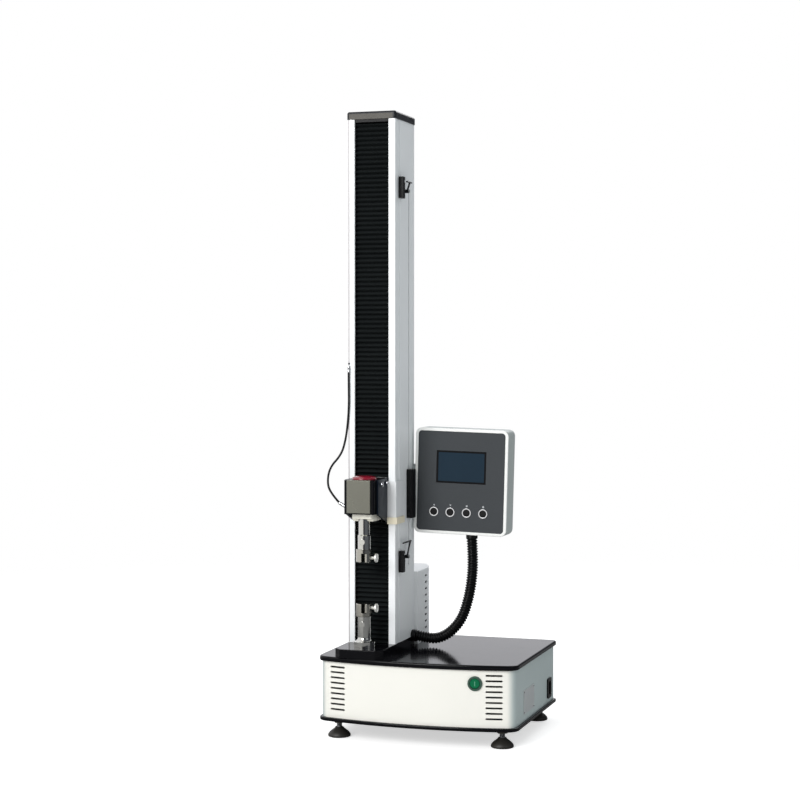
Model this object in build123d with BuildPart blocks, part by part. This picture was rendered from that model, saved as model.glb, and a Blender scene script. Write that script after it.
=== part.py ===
# Single-column bench tensile tester, built as separate named pieces. Millimetres, +Z up.
# X is to the right seen from the front, Y goes back. The origin is under the middle of the base.
import os
from math import asin, atan2, cos, degrees, hypot, pi, radians, sin, sqrt, tan

from build123d import *

os.makedirs("parts", exist_ok=True)

# Base housing
base_width = 370.0
base_depth = 330.0
front_bow = 23.0
front_corner_radius = 24.0
rear_corner_radius = 10.0
foot_height = 32.0
bottom_plate_thickness = 6.5
housing_height = 101.0
deck_thickness = 9.0
plate_overhang = 5.0
housing_wall = 2.5
vent_rows = 9
vent_pitch = 9.5
vent_length = 30.0
vent_slot = 3.4
vent_margin = 40.0
vent_rise = 15.5

# Levelling feet
foot_pad_diameter = 42.0
foot_pad_height = 19.0
foot_stud_diameter = 10.0
foot_nut_across_flats = 17.0
foot_nut_height = 7.0
foot_side_margin = 33.0
foot_front_margin = 49.0
foot_rear_margin = 27.0

# Column and its slot
column_margin = 81.25
column_width = 90.5
column_depth = 114.0
column_front_y = -76.5
column_height = 949.5
column_wall = 4.0
slot_width = 65.0
seat_thickness = 16.0
seat_front_margin = 8.0
seat_chamfer = 12.0
cap_thickness = 14.0
cap_overhang = 1.5
side_groove_width = 15.0
side_groove_depth = 1.2
side_groove_offset = 10.0

# Drive inside the column
screw_diameter = 16.0
screw_y = 0.0
guide_diameter = 12.0
guide_spacing = 54.0
guide_y = -22.0
running_clearance = 0.05
nut_diameter = 32.0
bearing_height = 18.0
motor_diameter = 60.0
motor_length = 105.0
motor_y = 100.0
motor_shaft_diameter = 8.0
motor_flange_thickness = 10.0
pulley_diameter = 40.0
pulley_width = 12.0
belt_thickness = 2.0
drive_margin = 120.0
drive_y = 20.0
drive_width = 150.0
drive_depth = 90.0
drive_height = 55.0
fin_height = 12.0
fin_pitch = 12.0
fin_gap = 8.0

# Crosshead
crosshead_bottom_z = 391.0
crosshead_height = 75.0
arm_width = 37.5
arm_wall = 5.0
arm_bottom = 14.0
arm_top = 8.0
arm_nose = 8.0
load_axis_reach = 40.0
load_cell_width = 25.0
load_cell_depth = 14.0
cell_slot_width = 2.5
cell_slot_rise = 13.0
cell_slot_share = 0.8
cell_window_pitch = 6.0
cell_window_width = 9.0
spacer_diameter = 10.0
spacer_drop = 7.0
front_spacer_setback = 1.5
rear_spacer_setback = 31.0
head_width = 56.3
head_front_reach = 70.5
head_height = 61.0
head_wall = 2.0
face_width = 44.4
face_thickness = 3.0
gusset_thickness = 3.0
gusset_front_reach = 54.5
gusset_slope_depth = 35.0
gusset_drop = 4.0
gusset_screw_diameter = 8.0
gusset_screw_height = 2.5
cap_button_diameter = 44.5
cap_button_height = 8.0
cap_bolt_diameter = 12.0
saddle_height = 77.0
saddle_thickness = 2.0
saddle_depth = 42.0
saddle_band_height = 12.0
saddle_drop = 6.0
cover_gap = 0.5
trigger_depth = 22.0
trigger_height = 90.0
trigger_thickness = 11.0
trigger_y = 0.0
stem_slot_width = 5.0
trigger_rise = 4.5
stem_slot_y = 3.0
stem_slot_rise = 135.5
stem_slot_drop = 104.0
stem_height = 40.0

# Bellows
bellows_pitch = 8.4
bellows_depth = 10.0
bellows_thickness = 1.6
bellows_side_gap = 3.0

# Grips on the load axis
rod_diameter = 23.5
rod_neck_diameter = 20.5
rod_pin_diameter = 8.0
shank_diameter = 12.0
shank_length = 24.0
pin_rise = 13.5
upper_rod_drop = 50.5
grip_diameter = 30.0
grip_height = 23.0
grip_flat = 12.5
fixed_face_offset = 1.0
jaw_gap = 5.0
jaw_thickness = 4.0
jaw_width = 19.0
jaw_height = 15.0
jaw_room = 0.3
clamp_screw_diameter = 6.0
knob_diameter = 17.0
knob_thickness = 9.0
knob_clearance = 4.5
lower_grip_rise = 55.1
flange_diameter = 39.0
flange_thickness = 10.0

# Limit switches on the column's right side
switch_front_y = -56.0
switch_depth = 13.0
switch_height = 39.0
switch_thickness = 8.0
switch_plate_depth = 26.0
switch_plate_thickness = 1.5
upper_switch_drop = 122.5
lower_switch_rise = 148.0
switch_notch_depth = 3.0
switch_notch_height = 4.5
switch_notch_drop = 8.0
switch_screw_diameter = 3.4
switch_screw_rises = (-12.0, 5.0)
lever_pivot_y = -32.0
upper_pivot_drop = 5.5
lower_pivot_rise = 7.5
lever_pin_diameter = 3.0
lever_hub_diameter = 7.0
lever_hub_length = 6.5
lever_hub_offset = 4.75
lever_bar_diameter = 3.0
lever_arm_width = 3.5
lever_arm_thickness = 2.0
upper_arm_reach = 17.0
upper_bar_rise = 17.5
upper_bar_front = -1.0
upper_bar_back = 26.5
lower_arm_reach = 20.0
lower_bar_rise = 26.5
lower_bar_front = -22.8
lower_bar_back = 23.7

# Control panel
panel_offset = 140.35
panel_z = 455.0
panel_front_y = 19.0
panel_roll = 1.5
panel_width = 177.0
panel_height = 195.0
panel_depth = 53.0
panel_rim = 5.5
panel_corner_radius = 12.0
panel_wall = 3.0
face_recess = 1.0
panel_face_thickness = 2.0
rim_depth = 7.0
screen_width = 95.0
screen_height = 60.0
screen_rise = 26.5
button_pitch = 31.3
button_drop = 57.0
button_centre = -3.0
button_diameter = 12.0
button_ring_diameter = 18.5
button_travel = 1.5
bracket_thickness = 4.0
bracket_height = 60.0
bracket_reach = 165.0
bracket_hold = 40.0

# Rear cover, power entry and cords
rear_cover_width = 103.5
rear_cover_height = 136.0
rear_cover_back_y = 163.0
rear_cover_wall = 1.5
rear_vent_pitch = 12.3
rear_vent_length = 14.0
rear_vent_slot = 4.0
rear_vent_start = 24.0
curve_start = 54.0
curve_drop = 21.0
switch_bezel_diameter = 26.0
switch_margin = 73.0
switch_bezel_z = 116.0
inlet_margin = 48.0
inlet_z = 65.5
inlet_width = 21.0
inlet_height = 30.0
hose_diameter = 18.5
hose_offset = 157.75
hose_setback = 15.0
hose_drop = 105.0
cable_diameter = 3.5
nipple_diameter = 16.0
gland_width = 24.0
hexagon_height = 4.4
collar_diameter = 22.0
clamp_depth = 12.0
clamp_height = 18.0
clamp_rise = 20.0
clamp_reach = 10.7
cable_nut_width = 9.0
cable_nut_height = 10.5
sleeve_diameter = 6.0
sleeve_length = 19.0
plug_diameter = 10.0
plug_height = 4.5

# Levels and places worked out from the sizes above
housing_bottom_z = foot_height + bottom_plate_thickness
deck_bottom_z = housing_bottom_z + housing_height
deck_z = deck_bottom_z + deck_thickness
column_z = deck_z + seat_thickness
column_top_z = column_z + column_height
column_back_y = column_front_y + column_depth
column_side = column_width / 2
inner_half = column_side - column_wall
load_y = column_front_y - load_axis_reach
front_y = -base_depth / 2
head_front_y = column_front_y - head_front_reach
crosshead_top_z = crosshead_bottom_z + crosshead_height
head_bottom_z = crosshead_top_z - head_height
gusset_outer = head_width / 2 + gusset_thickness
bellows_front_y = column_front_y + column_wall + 0.3
bellows_back_y = bellows_front_y + bellows_depth
bellows_half = slot_width / 2 + bellows_side_gap
carriage_front_y = bellows_back_y + 6
pulley_z = deck_bottom_z - 24
column_x = column_margin - base_width / 2
vent_x = base_width / 2 - vent_margin
foot_x = base_width / 2 - foot_side_margin
foot_front_y = front_y + foot_front_margin
foot_rear_y = base_depth / 2 - foot_rear_margin
drive_x = base_width / 2 - drive_margin
switch_bezel_x = base_width / 2 - switch_margin
inlet_y = base_depth / 2 - inlet_margin
panel_x = column_x + panel_offset
upper_rod_bottom_z = crosshead_bottom_z - upper_rod_drop
lower_grip_bottom_z = column_z + lower_grip_rise
upper_switch_z = column_top_z - upper_switch_drop
lower_switch_z = column_z + lower_switch_rise


def base_outline(inset, height):
    """The base seen from above: a bowed front, straight sides and round corners."""
    half = base_width / 2 - inset
    back = base_depth / 2 - inset
    side_front = front_y + front_bow + inset
    with BuildSketch(Plane.XY.offset(height)) as outline:
        with BuildLine():
            ThreePointArc((-half, side_front), (0, front_y + inset), (half, side_front))
            Polyline((half, side_front), (half, back), (-half, back), (-half, side_front))
        make_face()
        fillet(outline.vertices().group_by(Axis.Y)[0], front_corner_radius - inset)
        fillet(outline.vertices().group_by(Axis.Y)[-1], max(rear_corner_radius - inset, 2))
    return outline.sketch


def front_plane(x, z, inset):
    """A plane that faces out of the bowed front at x, z, inset from the plates' edge."""
    half = base_width / 2
    radius = (half**2 + front_bow**2) / (2 * front_bow)
    centre_y = front_y + radius
    turn = asin(x / (radius - inset))
    point = ((radius - inset) * sin(turn), centre_y - (radius - inset) * cos(turn), z)
    return Plane(origin=point, x_dir=(cos(turn), sin(turn), 0), z_dir=(sin(turn), -cos(turn), 0))


def save(part, label):
    part.label = label
    export_step(part, f"parts/{label}.step")


# Bottom plate, with threaded seats for the four feet
foot_places = [(x, y) for y in (foot_front_y, foot_rear_y) for x in (-foot_x, foot_x)]
with BuildPart() as bottom_plate:
    extrude(base_outline(0, foot_height), amount=bottom_plate_thickness)
    rim = bottom_plate.edges().group_by(Axis.Z)
    fillet(rim[0] + rim[-1], 2)
    with Locations(*[(x, y, foot_height) for x, y in foot_places]):
        Hole(radius=foot_stud_diameter / 2 + running_clearance)
save(bottom_plate.part, "bottom_plate")

# Housing shell with the vents, the switch hole and the power inlet hole
with BuildPart() as housing:
    extrude(base_outline(plate_overhang, housing_bottom_z), amount=housing_height)
    extrude(base_outline(plate_overhang + housing_wall, housing_bottom_z), amount=housing_height,
            mode=Mode.SUBTRACT)
    for side in (-1, 1):
        for row in range(vent_rows):
            vent = front_plane(side * vent_x, housing_bottom_z + vent_rise + row * vent_pitch, plate_overhang)
            with BuildSketch(vent):
                SlotOverall(vent_length, vent_slot)
            extrude(amount=3 * housing_wall, both=True, mode=Mode.SUBTRACT)
    with BuildSketch(front_plane(switch_bezel_x, switch_bezel_z, plate_overhang)):
        Circle(switch_bezel_diameter / 2 - 2)
    extrude(amount=3 * housing_wall, both=True, mode=Mode.SUBTRACT)
    with BuildSketch(Plane.YZ.offset(base_width / 2 - plate_overhang)):
        with Locations((inlet_y, inlet_z)):
            Rectangle(inlet_width, inlet_height)
    extrude(amount=3 * housing_wall, both=True, mode=Mode.SUBTRACT)
save(housing.part, "housing")

# Deck plate, the glossy top of the base
with BuildPart() as deck:
    extrude(base_outline(0, deck_bottom_z), amount=deck_thickness)
    rim = deck.edges().group_by(Axis.Z)
    fillet(rim[0], 2)
    fillet(rim[-1], 3)
    with Locations((column_x, screw_y, deck_z)):
        Hole(radius=screw_diameter / 2 + 3)
    with Locations((column_x, motor_y, deck_z)):
        Hole(radius=motor_shaft_diameter / 2 + 3)
save(deck.part, "deck")

# Levelling feet: a domed pad moulded round a threaded stud
stud_top_z = housing_bottom_z + 6
for index, (x, y) in enumerate(foot_places, start=1):
    with BuildPart() as foot:
        with BuildSketch(Plane.XZ.offset(-y)):
            with BuildLine():
                Polyline((x, foot_pad_height), (x, 0), (x + foot_pad_diameter / 2 - 2, 0),
                         (x + foot_pad_diameter / 2, 2), (x + foot_pad_diameter / 2, 4.5))
                Spline((x + foot_pad_diameter / 2, 4.5), (x + foot_pad_diameter * 0.43, 11.5),
                       (x + foot_stud_diameter * 0.8, foot_pad_height))
                Line((x + foot_stud_diameter * 0.8, foot_pad_height), (x, foot_pad_height))
            make_face()
        revolve(axis=Axis((x, y, 0), (0, 0, 1)))
        with BuildSketch(Plane.XY.offset(foot_pad_height)):
            with Locations((x, y)):
                Circle(foot_stud_diameter / 2)
        extrude(amount=stud_top_z - foot_pad_height)
    save(foot.part, f"foot_{index}")

# Lock nuts under the bottom plate
with BuildPart() as foot_nuts:
    with BuildSketch(Plane.XY.offset(foot_height - foot_nut_height)):
        with Locations(*foot_places):
            RegularPolygon(foot_nut_across_flats / 2, 6, major_radius=False)
            Circle(foot_stud_diameter / 2 + running_clearance, mode=Mode.SUBTRACT)
    extrude(amount=foot_nut_height)
save(foot_nuts.part, "foot_nuts")

# Power switch: round bezel and a rocker that tips about an upright pin
bezel_plane = front_plane(switch_bezel_x, switch_bezel_z, plate_overhang)
rocker_radius = switch_bezel_diameter / 2 - 3.5
with BuildPart() as switch_bezel:
    with BuildSketch(bezel_plane.offset(-16)):
        Circle(switch_bezel_diameter / 2 - 2.3)
        Circle(rocker_radius, mode=Mode.SUBTRACT)
    extrude(amount=17)
    with BuildSketch(bezel_plane.offset(0.4)):
        Circle(switch_bezel_diameter / 2)
        Circle(rocker_radius, mode=Mode.SUBTRACT)
    extrude(amount=2)
    chamfer(switch_bezel.edges().filter_by(GeomType.CIRCLE).sort_by(SortBy.RADIUS)[-1:], 0.8)
    with BuildSketch(bezel_plane.offset(-16)):
        Circle(switch_bezel_diameter / 2 - 2.3)
    extrude(amount=2)
save(switch_bezel.part, "switch_bezel")

with BuildPart() as power_rocker:
    with BuildSketch(bezel_plane.offset(-5)):
        Circle(rocker_radius - 0.8)
    extrude(amount=7.6)
    chamfer(power_rocker.edges().filter_by(GeomType.CIRCLE), 1)
save(power_rocker.part, "power_rocker")

# Power inlet on the right side, a shrouded socket with three pins
housing_right = base_width / 2 - plate_overhang
with BuildPart() as power_inlet:
    with BuildSketch(Plane.YZ.offset(housing_right + 0.1)):
        with Locations((inlet_y, inlet_z)):
            RectangleRounded(inlet_width + 7, inlet_height + 7, 4)
    extrude(amount=2.5)
    with BuildSketch(Plane.YZ.offset(housing_right - 18)):
        with Locations((inlet_y, inlet_z)):
            Rectangle(inlet_width - 0.6, inlet_height - 0.6)
    extrude(amount=18.1)
    with BuildSketch(Plane.YZ.offset(housing_right + 2.6)):
        with Locations((inlet_y, inlet_z)):
            RectangleRounded(inlet_width - 5, inlet_height - 5, 3)
    extrude(amount=-17, mode=Mode.SUBTRACT)
    with BuildSketch(Plane.YZ.offset(housing_right - 14.4)):
        with Locations((inlet_y, inlet_z - 7), (inlet_y, inlet_z), (inlet_y, inlet_z + 7)):
            Rectangle(4, 2)
    extrude(amount=12)
save(power_inlet.part, "power_inlet")


def plan(height):
    """The view from above, with X counted from the middle of the column."""
    return Plane(origin=(column_x, 0, height), x_dir=(1, 0, 0), z_dir=(0, 0, 1))


def side_view(offset):
    """The view from the right: first Y, then Z, at an offset from the middle of the column."""
    return Plane.YZ.offset(column_x + offset)


# Seat plate, the thick block that carries the column and the lower grip
seat_front_y = front_y + seat_front_margin
with BuildPart() as seat_plate:
    with BuildSketch(plan(deck_z)):
        with Locations((0, (seat_front_y + column_back_y) / 2)):
            Rectangle(column_width, column_back_y - seat_front_y)
    extrude(amount=seat_thickness)
    chamfer(seat_plate.edges().filter_by(Axis.Z).group_by(Axis.Y)[0], seat_chamfer)
    chamfer(seat_plate.edges().group_by(Axis.Z)[-1], 0.8)
    with Locations((column_x, screw_y, column_z)):
        Hole(radius=screw_diameter / 2 + 3)
save(seat_plate.part, "seat_plate")

# Column: a folded profile with a front slot for the bellows and grooved sides
column_middle_y = (column_front_y + column_back_y) / 2
stem_slot_bottom_z = column_z + stem_slot_rise
stem_slot_top_z = column_top_z - stem_slot_drop
groove_y = column_front_y + side_groove_offset + side_groove_width / 2
with BuildPart() as column:
    with BuildSketch(plan(column_z)):
        with Locations((0, column_middle_y)):
            RectangleRounded(column_width, column_depth, 1.5)
            Rectangle(2 * inner_half, column_depth - 2 * column_wall, mode=Mode.SUBTRACT)
        with Locations((0, column_front_y)):
            Rectangle(slot_width, 4 * column_wall, mode=Mode.SUBTRACT)
        for side in (-1, 1):
            with Locations((side * column_side, groove_y)):
                Rectangle(2 * side_groove_depth, side_groove_width, mode=Mode.SUBTRACT)
    extrude(amount=column_height)
    with BuildSketch(side_view(column_side)):
        with Locations((stem_slot_y, (stem_slot_bottom_z + stem_slot_top_z) / 2)):
            SlotOverall(stem_slot_top_z - stem_slot_bottom_z, stem_slot_width, rotation=90)
    extrude(amount=-2 * column_wall, mode=Mode.SUBTRACT)
save(column.part, "column")

# Cap over the column, with a spigot inside it
with BuildPart() as column_cap:
    with BuildSketch(plan(column_top_z)):
        with Locations((0, column_middle_y)):
            RectangleRounded(column_width + 2 * cap_overhang, column_depth + 2 * cap_overhang, 4)
    extrude(amount=cap_thickness)
    fillet(column_cap.edges().group_by(Axis.Z)[-1], 4)
    with BuildSketch(plan(column_top_z)):
        with Locations((0, column_middle_y)):
            Rectangle(2 * inner_half - 1, column_depth - 2 * column_wall - 1)
    extrude(amount=-5)
save(column_cap.part, "column_cap")

# Ball screw with its journal through the seat and the deck
bearing_top_z = column_top_z - 12
screw_top_z = bearing_top_z + 4
with BuildPart() as ball_screw:
    with BuildSketch(plan(pulley_z - 8)):
        with Locations((0, screw_y)):
            Circle(screw_diameter / 2 - 2)
    extrude(amount=column_z + bearing_height + 2 - pulley_z + 8)
    with BuildSketch(plan(column_z + bearing_height + 2)):
        with Locations((0, screw_y)):
            Circle(screw_diameter / 2)
    extrude(amount=bearing_top_z - bearing_height - 2 - column_z - bearing_height - 2)
    with BuildSketch(plan(bearing_top_z - bearing_height - 2)):
        with Locations((0, screw_y)):
            Circle(screw_diameter / 2 - 2)
    extrude(amount=screw_top_z - bearing_top_z + bearing_height + 2)
save(ball_screw.part, "ball_screw")

# Bearing blocks at both ends carry the screw and the guide shafts
bearing_front_y = guide_y - guide_diameter
bearing_back_y = column_back_y - column_wall
with BuildPart() as screw_bearings:
    for level in (column_z, bearing_top_z - bearing_height):
        with BuildSketch(plan(level)):
            with Locations((0, (bearing_front_y + bearing_back_y) / 2)):
                Rectangle(2 * inner_half, bearing_back_y - bearing_front_y)
            with Locations((0, screw_y)):
                Circle(screw_diameter / 2 - 2 + running_clearance, mode=Mode.SUBTRACT)
        extrude(amount=bearing_height)
save(screw_bearings.part, "screw_bearings")

# Two guide shafts, seated in the bearing blocks' faces
guide_length = bearing_top_z - column_z - 2 * bearing_height
with BuildPart() as guide_shafts:
    with BuildSketch(plan(column_z + bearing_height)):
        with Locations((-guide_spacing / 2, guide_y), (guide_spacing / 2, guide_y)):
            Circle(guide_diameter / 2)
    extrude(amount=guide_length)
save(guide_shafts.part, "guide_shafts")

# Carriage on the guide shafts, with the trigger's stem
carriage_back_y = screw_y + nut_diameter / 2 - 4
carriage_half = inner_half - 3
with BuildPart() as carriage:
    with BuildSketch(plan(crosshead_bottom_z)):
        with Locations((0, (carriage_front_y + carriage_back_y) / 2)):
            Rectangle(2 * carriage_half, carriage_back_y - carriage_front_y)
        with Locations((-guide_spacing / 2, guide_y), (guide_spacing / 2, guide_y)):
            Circle(guide_diameter / 2 + running_clearance, mode=Mode.SUBTRACT)
        with Locations((0, screw_y)):
            Circle(screw_diameter / 2 + 2.5, mode=Mode.SUBTRACT)
    extrude(amount=crosshead_height)
    chamfer(carriage.edges().filter_by(Axis.Z).group_by(Axis.Y)[-1], 5)
    with BuildSketch(side_view(carriage_half)):
        with Locations((stem_slot_y, crosshead_bottom_z + crosshead_height / 2)):
            Rectangle(stem_slot_width - 1, stem_height)
    extrude(amount=column_side + cover_gap - carriage_half)
save(carriage.part, "carriage")

# Ball nut under the carriage
with BuildPart() as ball_nut:
    with BuildSketch(plan(crosshead_bottom_z)):
        with Locations((0, screw_y)):
            Circle(nut_diameter / 2 - 4)
            Circle(screw_diameter / 2 + running_clearance, mode=Mode.SUBTRACT)
    extrude(amount=-28)
    with BuildSketch(plan(crosshead_bottom_z)):
        with Locations((0, screw_y)):
            Circle(nut_diameter / 2)
            Circle(screw_diameter / 2 + running_clearance, mode=Mode.SUBTRACT)
    extrude(amount=-8)
save(ball_nut.part, "ball_nut")

# Timing drive in the base: two pulleys, the belt and the motor under the rear cover
with BuildPart() as screw_pulley:
    with BuildSketch(plan(pulley_z)):
        with Locations((0, screw_y)):
            Circle(pulley_diameter / 2)
    extrude(amount=pulley_width)
    with BuildSketch(plan(pulley_z)):
        with Locations((0, screw_y)):
            Circle(pulley_diameter / 2 + 3)
    extrude(amount=-1.5)
    with BuildSketch(plan(pulley_z + pulley_width)):
        with Locations((0, screw_y)):
            Circle(pulley_diameter / 2 + 3)
    extrude(amount=1.5)
    with Locations((column_x, screw_y, pulley_z)):
        Hole(radius=screw_diameter / 2 - 2)
save(screw_pulley.part, "screw_pulley")

with BuildPart() as motor_pulley:
    with BuildSketch(plan(pulley_z)):
        with Locations((0, motor_y)):
            Circle(pulley_diameter / 2)
    extrude(amount=pulley_width)
    with BuildSketch(plan(pulley_z)):
        with Locations((0, motor_y)):
            Circle(motor_shaft_diameter / 2)
    extrude(amount=deck_z + 8 - pulley_z)
save(motor_pulley.part, "motor_pulley")

belt_radius = pulley_diameter / 2 + 0.3
with BuildPart() as timing_belt:
    with BuildSketch(plan(pulley_z + 1)):
        with Locations((0, (screw_y + motor_y) / 2)):
            SlotCenterToCenter(motor_y - screw_y, 2 * (belt_radius + belt_thickness), rotation=90)
            SlotCenterToCenter(motor_y - screw_y, 2 * belt_radius, rotation=90, mode=Mode.SUBTRACT)
    extrude(amount=pulley_width - 2)
save(timing_belt.part, "timing_belt")

with BuildPart() as motor:
    with BuildSketch(plan(deck_z)):
        with Locations((0, motor_y)):
            RectangleRounded(motor_diameter, motor_diameter, 6)
            Circle(motor_shaft_diameter / 2 + running_clearance, mode=Mode.SUBTRACT)
    extrude(amount=motor_flange_thickness)
    with BuildSketch(plan(deck_z + motor_flange_thickness)):
        with Locations((0, motor_y)):
            Circle(motor_diameter / 2 - 1)
    extrude(amount=motor_length - motor_flange_thickness)
    fillet(motor.edges().group_by(Axis.Z)[-1], 3)
save(motor.part, "motor")

# Drive electronics on the bottom plate, a finned box
with BuildPart() as motor_drive:
    with BuildSketch(Plane.XY.offset(housing_bottom_z)):
        with Locations((drive_x, drive_y)):
            Rectangle(drive_width, drive_depth)
    extrude(amount=drive_height)
    with BuildSketch(Plane.XY.offset(housing_bottom_z + drive_height - fin_height)):
        with Locations((drive_x, drive_y)):
            with GridLocations(fin_pitch, 0, int(drive_width / fin_pitch), 1):
                Rectangle(fin_gap, drive_depth)
    extrude(amount=fin_height, mode=Mode.SUBTRACT)
save(motor_drive.part, "motor_drive")

# Rear cover with curved sides and vents, over the motor
cover_half = rear_cover_width / 2
cover_top_z = deck_z + rear_cover_height
curve_start_y = column_back_y + curve_start


def cover_outline(inset, height):
    half = cover_half - inset
    back = rear_cover_back_y - inset
    front = column_back_y + inset
    middle = (curve_start_y + back) / 2
    with BuildSketch(plan(height)) as outline:
        with BuildLine():
            Polyline((-half, curve_start_y), (-half, front), (half, front), (half, curve_start_y))
            ThreePointArc((half, curve_start_y), (half - curve_drop / 4, middle),
                          (half - curve_drop, back))
            Line((half - curve_drop, back), (curve_drop - half, back))
            ThreePointArc((curve_drop - half, back), (curve_drop / 4 - half, middle),
                          (-half, curve_start_y))
        make_face()
        fillet(outline.vertices().group_by(Axis.Y)[-1], 8)
    return outline.sketch


with BuildPart() as rear_cover:
    extrude(cover_outline(0, deck_z), amount=rear_cover_height)
    fillet(rear_cover.edges().group_by(Axis.Z)[-1], 2.5)
    extrude(cover_outline(rear_cover_wall, deck_z), amount=rear_cover_height - rear_cover_wall,
            mode=Mode.SUBTRACT)
    with BuildSketch(side_view(0)):
        for row in range(vent_rows):
            with Locations((curve_start_y, deck_z + rear_vent_start + row * rear_vent_pitch)):
                SlotOverall(rear_vent_length, rear_vent_slot)
    extrude(amount=rear_cover_width, both=True, mode=Mode.SUBTRACT)
save(rear_cover.part, "rear_cover")

# Crosshead arm: a box section that holds the load cell above the rod's hole
arm_front_y = load_y - arm_nose
arm_top_z = crosshead_top_z - head_wall
arm_floor_z = crosshead_bottom_z + arm_bottom
cell_top_z = arm_top_z - arm_top
spacer_places = [(load_y + front_spacer_setback, arm_top_z - spacer_drop),
                 (load_y + rear_spacer_setback, arm_top_z - spacer_drop)]
spacer_reach = head_width / 2 - head_wall
with BuildPart() as crosshead_arm:
    with BuildSketch(plan(crosshead_bottom_z)):
        with Locations((0, (arm_front_y + carriage_front_y) / 2)):
            Rectangle(arm_width, carriage_front_y - arm_front_y)
    extrude(amount=arm_top_z - crosshead_bottom_z)
    with BuildSketch(plan(arm_floor_z)):
        with Locations((0, (arm_front_y + carriage_front_y - 2 * arm_wall) / 2)):
            Rectangle(arm_width - 2 * arm_wall, carriage_front_y - arm_front_y)
    extrude(amount=cell_top_z - arm_floor_z, mode=Mode.SUBTRACT)
    chamfer(crosshead_arm.edges().filter_by(Axis.X).group_by(Axis.Z)[0][:1], 2)
    with BuildSketch(plan(crosshead_bottom_z)):
        with Locations((0, load_y)):
            Circle(rod_neck_diameter / 2 + 1)
    extrude(amount=arm_bottom, mode=Mode.SUBTRACT)
    with BuildSketch(plan(cell_top_z)):
        with Locations((0, load_y)):
            Circle(cap_bolt_diameter / 2 + running_clearance)
    extrude(amount=arm_top, mode=Mode.SUBTRACT)
    for side in (-1, 1):
        with BuildSketch(side_view(side * arm_width / 2)):
            with Locations(*spacer_places):
                Circle(spacer_diameter / 2)
        extrude(amount=side * (spacer_reach - arm_width / 2))
save(crosshead_arm.part, "crosshead_arm")

# S-type load cell: a block cut by two slots from opposite sides and a window between them
cell_bottom_z = arm_floor_z + 1
cell_middle_z = (cell_bottom_z + cell_top_z) / 2
slot_reach = load_cell_width * cell_slot_share
with BuildPart() as load_cell:
    with BuildSketch(Plane.XZ.offset(-(load_y + load_cell_depth / 2))):
        with Locations((column_x, cell_middle_z)):
            Rectangle(load_cell_width, cell_top_z - cell_bottom_z)
        for side in (-1, 1):
            middle_x = column_x + side * (load_cell_width - slot_reach) / 2
            with Locations((middle_x, cell_middle_z + side * cell_slot_rise)):
                Rectangle(slot_reach, cell_slot_width, mode=Mode.SUBTRACT)
        with Locations((column_x, cell_middle_z)):
            SlotCenterToCenter(cell_window_pitch, cell_window_width, mode=Mode.SUBTRACT)
    extrude(amount=load_cell_depth)
save(load_cell.part, "load_cell")

# Folded cover over the arm, open below and behind
with BuildPart() as crosshead_cover:
    with BuildSketch(plan(head_bottom_z)):
        with Locations((0, (head_front_y + column_front_y - cover_gap) / 2)):
            Rectangle(head_width, column_front_y - cover_gap - head_front_y)
    extrude(amount=head_height)
    fillet(crosshead_cover.edges().filter_by(Axis.Z).group_by(Axis.Y)[0], 2.5)
    with BuildSketch(plan(head_bottom_z)):
        with Locations((0, (head_front_y + 2 * head_wall + column_front_y - cover_gap) / 2)):
            Rectangle(head_width - 2 * head_wall, column_front_y - cover_gap - head_front_y)
    extrude(amount=head_height - head_wall, mode=Mode.SUBTRACT)
    with Locations((column_x, load_y, crosshead_top_z)):
        Hole(radius=cap_bolt_diameter / 2 + 0.5, depth=2 * head_wall)
save(crosshead_cover.part, "crosshead_cover")

# Bright plate on the cover's front
with BuildPart() as crosshead_face:
    with BuildSketch(plan(head_bottom_z + 2)):
        with Locations((0, head_front_y - face_thickness / 2)):
            Rectangle(face_width, face_thickness)
    extrude(amount=head_height - 2)
    chamfer(crosshead_face.edges().group_by(Axis.Y)[0], 0.6)
save(crosshead_face.part, "crosshead_face")

# Gusset plates on both sides of the cover, each with two screws into the arm's spacers
gusset_front_y = column_front_y - gusset_front_reach
with BuildPart() as gusset_plates:
    for side in (-1, 1):
        with BuildSketch(side_view(side * head_width / 2)):
            with BuildLine():
                Polyline((gusset_front_y, crosshead_top_z), (gusset_front_y, head_bottom_z - 1),
                         (gusset_front_y + gusset_slope_depth, crosshead_bottom_z),
                         (carriage_front_y - 10, crosshead_bottom_z - gusset_drop),
                         (carriage_front_y, crosshead_bottom_z - gusset_drop),
                         (carriage_front_y, crosshead_top_z), (gusset_front_y, crosshead_top_z))
            make_face()
        extrude(amount=side * gusset_thickness)
        with BuildSketch(side_view(side * gusset_outer)):
            with Locations(*spacer_places):
                Circle(gusset_screw_diameter / 2)
        extrude(amount=side * gusset_screw_height)
save(gusset_plates.part, "gusset_plates")

# Domed button over the load cell's bolt
dome_start_z = crosshead_top_z + 2.5
dome_top_z = crosshead_top_z + cap_button_height
dome_half = cap_button_diameter / 2
dome_radius = (dome_half**2 + (dome_top_z - dome_start_z) ** 2) / (2 * (dome_top_z - dome_start_z))
dome_middle_z = dome_top_z - dome_radius + sqrt(dome_radius**2 - dome_half**2 / 4)
with BuildPart() as load_cap:
    with BuildSketch(Plane.XZ.offset(-load_y)):
        with BuildLine():
            Polyline((column_x, cell_top_z), (column_x + cap_bolt_diameter / 2, cell_top_z),
                     (column_x + cap_bolt_diameter / 2, crosshead_top_z),
                     (column_x + dome_half, crosshead_top_z), (column_x + dome_half, dome_start_z))
            ThreePointArc((column_x + dome_half, dome_start_z),
                          (column_x + dome_half / 2, dome_middle_z), (column_x, dome_top_z))
            Line((column_x, dome_top_z), (column_x, cell_top_z))
        make_face()
    revolve(axis=Axis((column_x, load_y, 0), (0, 0, 1)))
save(load_cap.part, "load_cap")

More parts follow.
